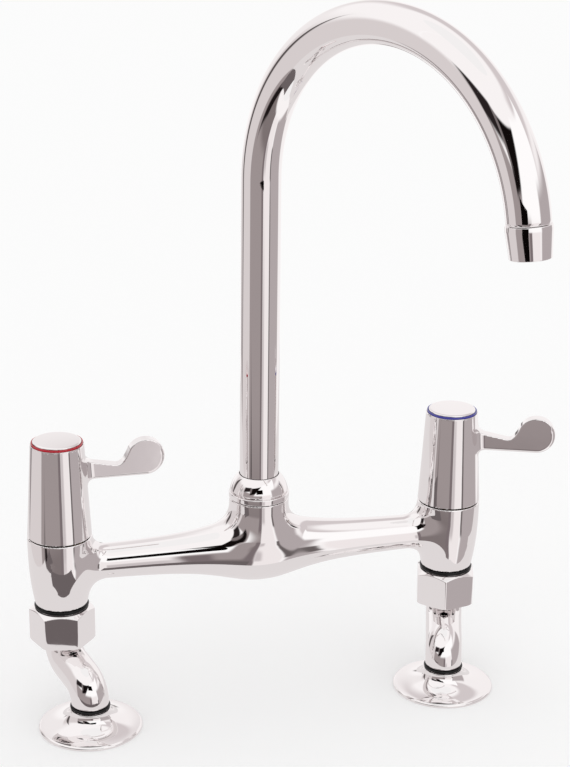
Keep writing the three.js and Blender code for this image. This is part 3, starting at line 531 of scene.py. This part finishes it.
def finishes():
    """Every finish of the faucet, made once, by its slot and by its name."""
    if "chrome_on_tube" not in bpy.data.materials:
        colours = bpy.context.scene.faucet_colours
        for _, name, key, metallic, roughness, specular, pattern, settings in FINISHES:
            made, shader = surface_material(
                name, getattr(colours, key), metallic, roughness, specular)
            pattern(made.node_tree, shader, *settings)
    return {key: bpy.data.materials[row[1]] for row in FINISHES for key in row[:2]}


def make(cad_node, shape, material=None):
    """Puts a surface, in millimetres, into an object that stands for one CAD node: it rides on
    the node's body and takes its material slot from the record. A quad with two corners in one
    place becomes a triangle."""
    vertices, faces, normals = shape
    mesh = bpy.data.meshes.new(cad_node + "_finish")
    quad = (faces != np.roll(faces, 1, 1)).all(1)
    rest = faces[~quad]
    three = np.stack([rest[:, :3], rest[:, [0, 2, 3]]], axis=1).reshape(-1, 3)
    three = three[(three != np.roll(three, 1, 1)).all(1)]
    mesh.from_pydata(vertices * MM, [], faces[quad].tolist() + three.tolist())
    mesh.validate()
    mesh.shade_smooth()
    if len(mesh.vertices) == len(normals):
        mesh.normals_split_custom_set_from_vertices(normals)
    slot = SLOTS[cad_node]
    mesh.materials.append(finishes()[material or slot])
    made = bpy.data.objects.new(mesh.name, mesh)
    bpy.context.scene.collection.objects.link(made)
    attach(made, frame["nodes"][cad_node]["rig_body"])
    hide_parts(cad_node)


# ---- bridge casting

def mm(group):
    """A group's sizes in millimetres, and its angles in radians."""
    return {key: getattr(group, key) * (
        1 if group.bl_rna.properties[key].unit == "ROTATION" else 1000)
        for key in group.__annotations__}


# Radii of the casting's spigots and bores, and the rounding of its edges, in millimetres.
NECK_SPIGOT, UNION_SPIGOT = 12.6, 11.6
SPOUT_SOCKET, MIXING_BORE, HEADWORK_BORE, INLET_BORE, ARM_BORE = 11.35, 7.5, 10.65, 6.2, 4.6
CAST_EDGE, BORE_EDGE = 0.35, 0.3


def casting_field(points, size, levels):
    """Signed distance to one half of the casting, whose other half mirrors it: an arm whose
    radius swells towards the middle by a power of the distance, an upright neck and a valve
    body whose side curves in to its foot by a power of the depth, blended by parabolas, less
    the bores that take the spout, the water and the headworks."""
    half = np.stack([np.abs(points[..., 0]), points[..., 1], points[..., 2]], axis=-1)
    out, y, z = half[..., 0], half[..., 1], half[..., 2]
    bar = lambda x, radius, low, high: upright(half, x, radius, low, high, BORE_EDGE)
    arm_z, valve_x, valve_top = size["arm_z"], size["valve_x"], levels["valve_top"]
    swell = (size["boss"] - size["arm"]) / (1 + (out / size["boss_spread"]) ** 2.28)
    from_arm = np.hypot(y, z - arm_z)
    arm = np.maximum(from_arm - (size["arm"] + swell), out - valve_x)
    neck = upright(half, 0, size["neck"], arm_z + 9, NECK_TOP, CAST_EDGE)
    drop = np.clip((valve_top - z) / (valve_top - VALVE_FOOT), 0, 1.1)
    side = size["valve_top"] - (size["valve_top"] - size["valve_foot"]) * drop ** 2.6
    valve = rounded_max((np.hypot(out - valve_x, y) - side) * 0.98,
                        np.maximum(VALVE_FOOT - z, z - valve_top), CAST_EDGE)
    body = blend_min(blend_min(arm, neck, size["neck_fillet"]), valve, size["valve_fillet"])
    body = np.maximum(body, z - np.where(out > valve_x - 30, valve_top, NECK_TOP))
    body = np.minimum.reduce([
        body, bar(0, NECK_SPIGOT, arm_z, NECK_TOP + 4),
        bar(valve_x, UNION_SPIGOT, levels["spigot"], VALVE_FOOT + 2)])
    hollow = np.minimum.reduce([
        bar(0, SPOUT_SOCKET, levels["socket"], NECK_TOP + 9),
        bar(0, MIXING_BORE, arm_z - 8.3, levels["socket"] + 2),
        bar(valve_x, HEADWORK_BORE, levels["seat"], valve_top + 5),
        bar(valve_x, INLET_BORE, levels["spigot"] - 5, levels["seat"] + 2),
        np.maximum(from_arm - ARM_BORE, out - valve_x)])
    return np.maximum(body, -hollow)


class FaucetCasting(bpy.types.Operator):
    """Builds the bridge casting, with its two valve bodies and its neck"""
    bl_idname = "faucet.casting"
    bl_label = "Bridge casting"

    def execute(self, context):
        size = mm(context.scene.faucet_casting)
        levels = {"valve_top": level("hot_lever_handle", FOOT) - SEAM,
                  "spigot": level("hot_union_washer", TOP) + PLAY,
                  "socket": level("spout_ferrule", FOOT) - PLAY,
                  "seat": level("hot_seat_seal", FOOT) - PLAY}
        low, high = (np.array(corner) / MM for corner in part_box("bridge_casting"))
        step = 0.65
        make("bridge_casting", skin(lambda points: casting_field(points, size, levels),
                                    low - 1.5 * step, high + 1.5 * step, step))
        return {"FINISHED"}


# ---- lever handles and caps

# A lever's depth at its arm, the step's corner and foot from the paddle's end, and where the
# root starts and how it slopes; then the shell's wall and its two hollows, in millimetres.
ARM_DEPTH, STEP_CORNER, STEP_FOOT, ROOT_X, ROOT_SLOPE = 6.5, 2.8, 6.0, 6, 0.19
SHELL_WALL, CAVITY_TOP, SPINDLE_SOCKET, SOCKET_TOP = 2.3, 15.6, 4.2, 27


def lever_outline(size, base):
    """Side view of a lever as a closed line: level underside, a round paddle, an S-shaped
    step down from it, a parabola, and a straight top that rises back to the shell."""
    radius = size["paddle"]
    middle, centre_z = size["reach"] - radius, base + size["rise"]
    under = centre_z - radius
    arc = np.linspace(-np.pi / 2, np.radians(150), 60)
    paddle = np.stack([middle + radius * np.cos(arc), centre_z + radius * np.sin(arc)], axis=1)
    end, arm_top = paddle[-1], under + ARM_DEPTH
    corner, foot = (np.array([end[0] - inset, arm_top]) for inset in (STEP_CORNER, STEP_FOOT))
    s = np.linspace(0, 1, 24)[1:, None]
    step = (1 - s) ** 2 * end + 2 * s * (1 - s) * corner + s ** 2 * foot
    root = [[ROOT_X, arm_top + ROOT_SLOPE * (foot[0] - ROOT_X)], [ROOT_X, under]]
    return np.concatenate([paddle, step, root])


def distance_to_line(points, line):
    """Signed distance from points to a closed line: the least distance to its segments, less
    than zero where the winding says inside."""
    best = np.full(points.shape[:-1], 1e9)
    inside = np.zeros(points.shape[:-1], bool)
    for start, end in zip(line, np.roll(line, -1, 0)):
        way = end - start
        offset = points - start
        share = np.clip(offset @ way / max(way @ way, 1e-12), 0, 1)
        best = np.minimum(best, ((offset - share[..., None] * way) ** 2).sum(-1))
        spans = (start[1] > points[..., 1]) != (end[1] > points[..., 1])
        inside ^= spans & (offset[..., 0] < offset[..., 1] / (way[1] or 1e-12) * way[0])
    return np.where(inside, -1, 1) * np.sqrt(best)


def distance_table(line, low, high, step):
    """Distances to a closed line on a square grid, to look up between its points."""
    axes = [np.arange(a, b + step, step) for a, b in zip(low, high)]
    return low, step, distance_to_line(np.stack(np.meshgrid(*axes, indexing="ij"), -1), line)


def looked_up(table, across, up):
    """Bilinear value of a table of distances."""
    low, step, values = table
    u = np.clip((across - low[0]) / step, 0, values.shape[0] - 1.001)
    v = np.clip((up - low[1]) / step, 0, values.shape[1] - 1.001)
    i, j = u.astype(int), v.astype(int)
    u, v = u - i, v - j
    return ((1 - u) * (1 - v) * values[i, j] + u * (1 - v) * values[i + 1, j]
            + (1 - u) * v * values[i, j + 1] + u * v * values[i + 1, j + 1])


def handle_field(points, size, table, base, top):
    """Signed distance to a lever handle: a tapered shell, blended with a flat lever, less the
    shell's cavity. The lever's edges are crisp above, and soft below and round the paddle's
    end."""
    x, y, z = points[..., 0], points[..., 1], points[..., 2]
    radius = size["foot"] - (size["foot"] - size["top"]) * (z - base) / (top - base)
    from_axis = np.hypot(x, y)
    shell = rounded_max(from_axis - radius, np.maximum(base - z, z - top), 0.1)
    from_paddle = x - (size["reach"] - size["paddle"])
    soft_below = base + size["rise"] - 5.5 + np.clip((from_paddle + 12) / 10, 0, 1) * 3
    soft = np.clip((soft_below - z) / 2.5 + np.clip(from_paddle - 1, 0, 9) * 0.5, 0, 1)
    edge = size["crisp"] + (size["soft"] - size["crisp"]) * soft ** 2 * (3 - 2 * soft)
    lever = rounded_max(looked_up(table, x, z), np.abs(y) - size["thickness"] / 2, edge)
    body = blend_min(shell, np.maximum(lever, 4 - x), size["root_fillet"])
    cavity = rounded_max(from_axis - (radius - SHELL_WALL), z - base - CAVITY_TOP, 0.5)
    socket = rounded_max(from_axis - SPINDLE_SOCKET, z - base - SOCKET_TOP, 0.2)
    return np.maximum(np.maximum(body, z - top), -np.minimum(cavity, socket))


class FaucetHandles(bpy.types.Operator):
    """Builds the two lever handles, their index rings and their caps"""
    bl_idname = "faucet.handles"
    bl_label = "Lever handles"

    def execute(self, context):
        size = mm(context.scene.faucet_handles)
        base = level("hot_lever_handle", FOOT)
        top = level("hot_index_ring", FOOT) - PLAY
        valve_x = context.scene.faucet_casting.valve_x / MM
        table = distance_table(lever_outline(size, base), (-2, base + 18), (58, top + 6), 0.1)
        shell = skin(lambda points: handle_field(points, size, table, base, top),
                     (-17, -17, base - 1), (size["reach"] + 1, 17, top + 1), 0.5)
        rim, inner, crest = size["top"], size["top"] - 0.4, top + size["lip"]
        lip = eased_ring([[inner, top - 0.05], [rim, top - 0.05], [rim - 0.06, crest],
                          [inner, crest]], [0.02, 0.02, 0.15, 0.1])
        rim, hole, seat, crest, shelf = rim - 0.5, 7.7, top + PLAY, top + 1.3, top + 0.8
        line = rim - 0.6
        ring = eased_ring([[hole, seat], [rim, seat], [rim, crest], [line, crest],
                           [line, shelf], [hole, shelf]], 0.2)
        edge, stem, foot, low = rim - 0.7, 7.4, top - 3.7, top + 1.0
        s = np.linspace(1, 0, 24)[:, None]
        dome = np.concatenate([(edge - 0.7) * s, low + 1.0 + 0.4 * (1 - s ** 2)], axis=1)
        side = eased([[0, foot], [stem, foot], [stem, low], [edge, low], [edge, low + 0.7],
                      dome[0]], 0.3)
        pieces = (("_lever_handle", together(shell, lip), "chrome_on_handle"),
                  ("_index_ring", ring, None),
                  ("_index_cap", turned(np.concatenate([side[:-1], dome]), False, 128), None))
        for name, sign in SIDES:
            for piece, shape, finish in pieces:
                make(name + piece, placed(
                    shape, size[name + "_angle"], (sign * valve_x, 0, 0)), finish)
        return {"FINISHED"}


# ---- spout

class FaucetSpout(bpy.types.Operator):
    """Builds the swan-neck tube, its collar and its aerator"""
    bl_idname = "faucet.spout"
    bl_label = "Spout"

    def execute(self, context):
        size = mm(context.scene.faucet_spout)
        turn = np.linspace(0, size["turn"], 180)
        arc = np.stack([size["arch"] * (1 - np.cos(turn)), 0 * turn,
                        size["arch_z"] + size["arch"] * np.sin(turn)], axis=1)
        rise = np.linspace(level("spout_tube", FOOT), size["arch_z"], 24)[:-1, None]
        path = np.concatenate([rise * (0, 0, 1), arc])
        heading = np.concatenate([
            np.tile([0, 0, 1.0], (len(rise), 1)),
            np.stack([np.sin(turn), 0 * turn, np.cos(turn)], axis=1)])
        inner = size["tube"] - size["wall"]
        outside, inside = (swept(path, heading, np.full(len(path), radius), (0, 1, 0))
                           for radius in (size["tube"], inner))
        tube = sheet(np.concatenate([outside, inside[::-1]]), True)
        make("spout_tube", placed(tube, size["forward"]), "chrome_on_tube")

        # The housing as [radius, distance past the tube's end]: a spigot in the tube, a short
        # shoulder, a cone, and the bore with the seat of its washer.
        spigot, back, seat, bore, shelf, end = inner - PLAY, -5, 6.6, 7.7, 4.8, 14.3
        housing = eased_ring([
            [seat, back], [spigot, back], [spigot, 0.3], [9.9, 0.3], [10.0, 2.4], [8.95, end],
            [bore, end], [bore, shelf], [seat, shelf]],
            [0.2, 0.2, 0.2, 0.35, 0.5, 0.3, 0.3, 0.1, 0.1], 5, 96)
        make("aerator_housing", placed(placed(housing, 0, arc[-1], size["turn"]),
                                       size["forward"]), "chrome_on_tube")

        # The collar: a rounded band, a groove over it, and a dome that is part of a sphere.
        foot, sphere, hole, thread, groove = NECK_TOP + PLAY, 14.45, 9.8, 12.9, 13.2
        turn = np.linspace(math.asin(2.6 / sphere), math.acos(hole / sphere), 28)
        dome = np.stack([sphere * np.cos(turn), foot + 1.3 + sphere * np.sin(turn)], axis=1)
        band = eased([[thread, foot], [size["collar"], foot], [size["collar"], foot + 2.9],
                      [groove, foot + 3], [groove, foot + 3.7], dome[0]],
                     [0.1, 0.6, 0.6, 0.1, 0.1, 0.1], False, 10)
        inside = [[hole, foot + 4.9], [thread, foot + 4.9]]
        make("spout_collar", turned(np.concatenate([band[:-1], dome, inside]), True, 128))
        return {"FINISHED"}


# ---- unions, legs and feet

# Washers and rings in millimetres, as two radii, foot, top and easing, and nuts, as flats, foot,
# top, bore and the heights of their two chamfers.
FOOT_RING = (7.4, 9.75, 10.6, 12.1)
DECK_SEAL = (12.3, 21, 0, 1.5, 0.2)
DECK_WASHER = (10.7, 17, -33.3, -30.3, 0.5)
SLIP_WASHER = (10.7, 17, -35.1, -33.6, 0.25)
BACKNUT, BACKNUT_FACE = (28, -43.4, -37.0, 10.65, (1.4, 1.4)), (10.65, 15, -36.95, -35.4, 0.25)
UNION_BORE, UNION_CHAMFERS, UNION_TURN = 11.9, (0.5, 1.9), {"hot": 20, "cold": 42.5}
# The ring over a union nut: its radii, and its heights above the nut.
UNION_RING, UNION_RING_HEIGHTS = (11.8, 13.3), (0.3, 2.0)
# A leg's start over its nut's foot, its waterway, and its steps in the union and in the flange,
# each as its distance below the start or the bent part's foot and its radius.
LEG_START, LEG_BORE = 6.3, 5.4
COLLAR_STEPS = ((0, LEG_BORE), (0, 11.2), (0.3, 11.5), (2.7, 11.5), (3, 11.2), (3, 9.1))
SPIGOT_STEPS = ((0, 7.3), (0, 7.0), (17.7, 7.0), (18, 6.7), (18, LEG_BORE))


def leg_path(size, run, nut_foot):
    """Centre line of a leg in its own plane, as [out, height] and [out, height] headings: down
    out of the union, two equal arcs with a slanted run between them, and down into the foot."""
    bend = size["bend"]
    slant = run - 2 * bend, nut_foot - LEG_FOOT
    lean = math.atan2(*slant) + math.asin(2 * bend / math.hypot(*slant))
    turn = np.linspace(0, lean, 28)
    arc = bend * np.stack([1 - np.cos(turn), -np.sin(turn)], axis=1)
    points = np.concatenate([
        [[0, nut_foot + LEG_START], [0, nut_foot + 1]], [0, nut_foot] + arc,
        ([run, LEG_FOOT] - arc)[::-1]])
    lean_of = np.concatenate([[0, 0], turn, turn[::-1]])
    return points, np.stack([np.sin(lean_of), -np.cos(lean_of)], axis=1)


class FaucetFeet(bpy.types.Operator):
    """Builds the union nuts, the legs, the flanges and everything that fixes them to a deck"""
    bl_idname = "faucet.feet"
    bl_label = "Unions, legs and feet"

    def execute(self, context):
        size = mm(context.scene.faucet_feet)
        valve_x = context.scene.faucet_casting.valve_x / MM
        low, high = level("hot_union_nut", FOOT), level("hot_union_nut", TOP)
        at_hole = {
            "_foot_ring": o_ring(*FOOT_RING), "_flange": self.flange(size),
            "_deck_seal": washer(*DECK_SEAL), "_threaded_tail": self.tail(size),
            "_under_deck_washer": washer(*DECK_WASHER), "_slip_washer": washer(*SLIP_WASHER),
            "_backnut": together(hex_nut(*BACKNUT), washer(*BACKNUT_FACE))}
        ring = o_ring(*UNION_RING, *(high + height for height in UNION_RING_HEIGHTS))
        for name, sign in SIDES:
            valve = (sign * valve_x, 0, 0)
            hole = (sign * size["hole_x"], -size["forward"], 0)
            nut = hex_nut(size["flats"], low, high, UNION_BORE, UNION_CHAMFERS,
                          math.radians(UNION_TURN[name]))
            make(name + "_union_nut", placed(nut, 0, valve))
            make(name + "_union_ring", placed(ring, 0, valve))
            make(name + "_crank_leg", self.leg(size, valve, hole, low))
            for piece, shape in at_hole.items():
                make(name + piece, placed(shape, 0, hole))
        return {"FINISHED"}

    def leg(self, size, valve, hole, nut_foot):
        """Cranked leg: rings carried down its path, with steps in the nut and in the flange,
        and back up inside it."""
        way = np.subtract(hole, valve)
        run = np.linalg.norm(way)
        axes = np.array([way / run, (0, 0, 1)])
        centres, headings = (flat @ axes for flat in leg_path(size, run, nut_foot))
        down = np.array([0, 0, -1.0])
        ends = ((-0.3, size["leg"]), (0, size["leg"] - 0.3)) + SPIGOT_STEPS
        rows = [(centres[0] + down * drop, down, radius) for drop, radius in COLLAR_STEPS]
        rows += [(c, h, size["leg"]) for c, h in zip(centres[1:-1], headings[1:-1])]
        rows += [(centres[-1] + down * drop, down, radius) for drop, radius in ends]
        rows += [(c, h, LEG_BORE) for c, h in zip(centres[:0:-1], headings[:0:-1])]
        places, ways, radii = (np.array(column) for column in zip(*rows))
        grid = swept(places, ways, radii, np.cross(axes[0], axes[1]), 80)
        return placed(sheet(grid, True), 0, valve)

    def flange(self, size):
        """Trumpet flange: its side falls from the neck as a curve that ends level at the rim,
        and its hollow foot leaves room for the deck seal."""
        rim = size["flange"]
        shoulder, neck, edge, top = rim - 0.9, 9.9, 1.7, 10.3
        bore, thread, foot, hollow, roof = 7.3, 10.6, 5.3, 21.3, 1.8
        s = np.linspace(0, np.pi / 2, 40)
        side = np.stack([shoulder - (shoulder - neck) * np.cos(s) ** 1.5,
                         edge + 8.3 * (1 - np.sin(s)) ** 1.25], axis=1)
        lip = eased([[bore, top], [bore, foot], [thread, foot], [thread, roof],
                     [hollow, roof], [hollow, 0], [rim, 0], [rim, 1.1], [shoulder, edge]],
                    [0.1, 0.1, 0.1, 0.1, 0.1, 0.1, 0.35, 0.5, 0.1])
        return turned(np.concatenate([
            lip[:-1], side[::-1], [[9.75, top - 0.05], [9.5, top]]]), True, 144)

    def tail(self, size):
        """Threaded tail: its outside is a wave in height and angle, one turn to each pitch, as
        a right-hand thread is, which fades out at the end and near the flange."""
        pitch, bore, core, shank = size["thread"], 7.45, 9.2, 10.3
        end, top = -51.4, 3.0
        rows = np.linspace(end, top, int((top - end) / pitch * 11))[:, None]
        turn = np.linspace(0, 2 * np.pi, 72, endpoint=False)
        wave = 0.5 + 0.5 * np.cos(2 * np.pi * (rows / pitch - turn / (2 * np.pi)))
        fade = np.clip((rows - end) / 1.6, 0, 1) * np.clip((-1.0 - rows) / 2.0, 0, 1)
        outer = core + (0.12 + wave) * fade + (1 - fade) * (rows > -5) * (shank - core)
        ring = lambda radius, height: around(radius, height, turn)[None]
        return sheet(np.concatenate([
            ring(bore, end - 0.4), ring(bore + 0.25, end - 0.6), ring(8.9, end - 0.6),
            around(outer, rows, turn), ring(shank, 4.7), ring(shank - 0.3, 5),
            ring(bore, 5)]), True)


# ---- pieces kept from the CAD

class FaucetInnerPieces(bpy.types.Operator):
    """Gives the pieces that stay as the CAD has them their finishes"""
    bl_idname = "faucet.inner_pieces"
    bl_label = "Inner pieces"

    def execute(self, context):
        finish = finishes()
        for name, cad in frame["nodes"].items():
            if not cad.hide_render:
                cad.data.materials.clear()
                cad.data.materials.append(finish[SLOTS[name]])
        return {"FINISHED"}


# ---- stage

# Painted reflections: what the chrome mirrors is a pale room a metre away, painted as
# soft-edged glowing flats on an upright drum round the faucet, each laid over those before it.
# The flats are no lamps and light nothing; their pale and dark tones stand in for a room's
# light and shade as the chrome shows it. A flat is its name, [azimuth, half width, edge] in
# degrees, [height, half height, edge] in metres, its rise in metres a degree, its lean in
# degrees a metre, and its colour.
FLATS = (
    ("pale_room", (0, 180, 1), (0.5, 5, 1), 0, 0, "#F8F6F6"),
    ("back_wall", (88, 60, 30), (0.55, 0.28, 0.25), 0, 0, "#EEEBEB"),
    ("upper_right_wall", (20, 65, 30), (1.1, 0.5, 0.5), 0, 0, "#D0C9CA"),
    ("lower_right_wall", (25, 50, 20), (0.0, 0.75, 0.2), 0, 0, "#F4F1F1"),
    ("left_wall", (160, 34, 6), (-0.3, 0.9, 0.3), 0, 0, "#D5CFCF"),
    ("left_rail", (140, 6, 5), (0.25, 0.33, 0.1), 0.035, 0, "#554F4F"),
    ("left_drape", (126, 10, 6), (-0.25, 0.2, 0.1), -0.02, 0, "#958D8E"),
    ("back_rail", (80, 2.5, 2), (-0.25, 0.3, 0.1), -0.03, 0, "#6D6666"),
    ("front_cabinet", (-129, 38, 3), (-0.25, 0.62, 0.06), 0, 0, "#9C9393"),
    ("cabinet_base", (-124, 33, 4), (-0.72, 0.42, 0.2), 0, 0, "#7C7373"),
    ("cabinet_edge", (-96, 5, 4), (-0.3, 0.45, 0.1), 0, 0, "#786E70"),
    ("cabinet_foot", (-146, 9, 5), (-0.85, 0.5, 0.1), -0.02, 0, "#1D1718"),
    ("pale_door", (-74, 16.5, 4), (-0.3, 0.8, 0.2), 0, 0, "#EEE9E9"),
    ("door_shade", (-86, 5, 6), (-0.28, 0.2, 0.2), 0, 0, "#C6BFC0"),
    ("dark_doorway_left", (-154, 14, 6), (0.58, 0.17, 0.08), 0.006, 0, "#272122"),
    ("dark_doorway_right", (-114, 26, 4), (0.66, 0.26, 0.06), 0.006, 0, "#110C0C"),
    ("doorway_post", (-138, 3.5, 4), (0.6, 0.2, 0.1), 0, 0, "#787070"),
    ("window", (-66, 38, 5), (0.75, 0.5, 0.15), 0, 40, "#FFFFFF"),
    ("right_cabinet", (-20, 32, 6), (-0.25, 0.75, 0.2), 0, 0, "#AFA7A8"),
    ("right_post", (-52, 3, 3), (-0.2, 0.22, 0.08), 0, 0, "#676060"),
)
# Three painted reflections nearer than the room, glowing flats that only mirrors see, each
# as its name, its corners in metres and its colour: the white table that the faucet stands
# on, glowing a pale grey; a dark strip of painted shade in front of it, where the table's
# edge drops away; and the dark camera that takes the picture.
NEAR_FLATS = (
    ("table_top", [(-0.26, -0.086, 0), (0.10, -0.086, 0), (0.34, 0.02, 0), (0.34, 0.45, 0),
                   (-0.26, 0.45, 0)], "#E9E5E5"),
    # Painted shade: the dark strip in front of the table's edge, seen only in the chrome.
    ("table_gap", [(-0.25, -0.15, 0), (-0.02, -0.15, 0), (-0.02, -0.086, 0), (-0.25, -0.086, 0)],
     "#6E6667"),
    ("dark_camera", [(-0.13, -0.3, 0.185), (0.01, -0.3, 0.185), (0.01, -0.3, 0.285),
                     (-0.13, -0.3, 0.285)], "#0A0707"),
)


class FaucetStage(bpy.types.Operator):
    """Sets up the pale floor, the soft light, the chrome's painted reflections and the camera"""
    bl_idname = "faucet.stage"
    bl_label = "Stage"

    def execute(self, context):
        scene = context.scene
        # A plain matt floor, which mirrors leave out because they show the glowing table top, a
        # painted reflection, instead.
        floor = self.backdrop("floor", [(-6, -6, 0), (6, -6, 0), (6, 6, 0), (-6, 6, 0)])
        matt, _ = surface_material("pale_floor", scene.faucet_studio.floor, 0, 0.9, 0)
        floor.data.materials.append(matt)
        floor.visible_glossy = False
        self.light(scene)
        self.room(scene.faucet_studio)
        # The near flats glow as painted reflections and painted shade that only mirrors see.
        for name, corners, hex_colour in NEAR_FLATS:
            self.mirrored(self.backdrop(name, corners), name, linear(hex_colour), 1.0)
        self.camera(scene)
        scene.view_settings.view_transform = "Standard"
        return {"FINISHED"}

    def light(self, scene):
        """Soft light from all round; camera, mirrors and glass see it as plain white."""
        world = scene.world = bpy.data.worlds.new("soft_studio")
        world.use_nodes = True
        tree = world.node_tree
        tree.nodes.clear()
        path = node(tree, "ShaderNodeLightPath").outputs
        seen = path["Is Camera Ray"]
        for ray in ("Is Glossy Ray", "Is Transmission Ray"):
            seen = node(tree, "ShaderNodeMath", {"operation": "MAXIMUM"}, {
                0: seen, 1: path[ray]}).outputs[0]
        white, soft = (node(tree, "ShaderNodeBackground", None, {
            "Color": (1, 1, 1, 1), "Strength": strength}).outputs[0]
            for strength in (1.0, scene.faucet_studio.light))
        mixed = node(tree, "ShaderNodeMixShader", None, {0: seen, 1: soft, 2: white})
        node(tree, "ShaderNodeOutputWorld", None, {"Surface": mixed.outputs[0]})

    def room(self, studio):
        """The drum of flats, painted reflections that only mirrors and glass see. At each of its
        points a flat's share is the product of two smooth steps, across and up, of how far inside
        its edges the point is."""
        across = np.radians(np.arange(0, 360, 1.0))
        up = np.arange(-2.0, 3.0, 0.025)
        points = around(studio.room, up[:, None], across)
        step = lambda v: np.clip(v, 0, 1) ** 2 * (3 - 2 * np.clip(v, 0, 1))
        colours = np.ones((*points.shape[:2], 4))
        for _, (azimuth, half, edge), (height, tall, fade), rise, lean, hex_colour in FLATS:
            aside = (np.degrees(across) - azimuth + 180) % 360 - 180
            above = (up - height)[:, None]
            inside = aside - lean * np.clip(above, -tall - 1, tall + 1)
            share = (step((half - np.abs(inside)) / edge + 0.5)
                     * step((tall - np.abs(above - rise * aside)) / fade + 0.5))[..., None]
            colours += (np.array(linear(hex_colour)) - colours) * share
        index = np.arange(points[..., 0].size).reshape(points.shape[:2])
        beside = np.roll(index, -1, 1)
        faces = np.stack([index[:-1], beside[:-1], beside[1:], index[1:]], axis=2)
        wall = self.backdrop("room", points.reshape(-1, 3), faces.reshape(-1, 4).tolist())
        glow = wall.data.color_attributes.new("glow", "FLOAT_COLOR", "POINT")
        glow.data.foreach_set("color", colours.ravel())
        # The drum glows in painted reflections, which only mirrors and glass see.
        self.mirrored(wall, "room_walls", None, studio.shine)

    def backdrop(self, name, points, faces=None):
        """Part of the stage, not of the faucet: one face round its points, or several."""
        mesh = bpy.data.meshes.new(name)
        mesh.from_pydata(points, [], faces or [tuple(range(len(points)))])
        made = bpy.data.objects.new(name, mesh)
        bpy.context.scene.collection.objects.link(made)
        return made

    def mirrored(self, backdrop, name, colour_value, strength):
        """Makes a backdrop a painted reflection: only mirrors and glass see it, it glows in one
        colour or in its own attribute, and it neither lights nor shades anything else."""
        made = bpy.data.materials.new(name)
        made.use_nodes = True
        tree = made.node_tree
        tree.nodes.clear()
        glow = node(tree, "ShaderNodeEmission", None, {"Strength": strength})
        if colour_value:
            glow.inputs["Color"].default_value = colour_value
        else:
            own = node(tree, "ShaderNodeVertexColor", {"layer_name": "glow"})
            tree.links.new(own.outputs["Color"], glow.inputs["Color"])
        node(tree, "ShaderNodeOutputMaterial", None, {"Surface": glow.outputs[0]})
        made.cycles.emission_sampling = "NONE"
        backdrop.data.materials.append(made)
        backdrop.visible_camera = backdrop.visible_diffuse = False
        backdrop.visible_shadow = backdrop.visible_volume_scatter = False

    def camera(self, scene):
        """The photograph's camera, found from the object's own round and straight forms: its
        place, and how far it is turned about the upright, tipped down and rolled."""
        turn, tip, roll = (math.radians(v) for v in (14.65, 19.68, 0.67))
        data = bpy.data.cameras.new("photo_camera")
        data.sensor_width, data.lens, data.clip_start = 36, 90.68, 0.05
        made = bpy.data.objects.new("photo_camera", data)
        scene.collection.objects.link(made)
        made.matrix_world = (
            Matrix.Translation((-0.21001, -0.85164, 0.47383)) @ Matrix.Rotation(-turn, 4, "Z")
            @ Matrix.Rotation(math.pi / 2 - tip, 4, "X") @ Matrix.Rotation(roll, 4, "Z"))
        scene.camera = made


class FaucetPanel(bpy.types.Panel):
    """Lists the faucet's sizes, colours and build steps"""
    bl_idname = "VIEW3D_PT_faucet"
    bl_label = "Bridge kitchen faucet"
    bl_space_type = "VIEW_3D"
    bl_region_type = "UI"
    bl_category = "Faucet"

    def draw(self, context):
        for key, group in GROUPS:
            box = self.layout.box()
            box.label(text=group.__doc__)
            for name in group.__annotations__:
                box.prop(getattr(context.scene, key), name)
        for step in STEPS:
            self.layout.operator(step.bl_idname)


GROUPS = (
    ("faucet_casting", FaucetCastingSizes), ("faucet_handles", FaucetHandleSizes),
    ("faucet_spout", FaucetSpoutSizes), ("faucet_feet", FaucetFootSizes),
    ("faucet_colours", FaucetColours), ("faucet_studio", FaucetStudioSettings),
)
STEPS = (FaucetCasting, FaucetHandles, FaucetSpout, FaucetFeet, FaucetInnerPieces, FaucetStage)


def register():
    """Registers the settings, the build steps and the panel."""
    for key, group in GROUPS:
        bpy.utils.register_class(group)
        setattr(bpy.types.Scene, key, bpy.props.PointerProperty(type=group))
    for step in STEPS + (FaucetPanel,):
        bpy.utils.register_class(step)


def unregister():
    """Takes back what register did, in the opposite order."""
    for step in (FaucetPanel,) + STEPS[::-1]:
        bpy.utils.unregister_class(step)
    for key, group in GROUPS[::-1]:
        delattr(bpy.types.Scene, key)
        bpy.utils.unregister_class(group)


def main():
    """Builds the faucet and its stage."""
    register()
    bpy.ops.faucet.casting()
    bpy.ops.faucet.handles()
    bpy.ops.faucet.spout()
    bpy.ops.faucet.feet()
    bpy.ops.faucet.inner_pieces()
    bpy.ops.faucet.stage()


if __name__ == "__main__":
    main()
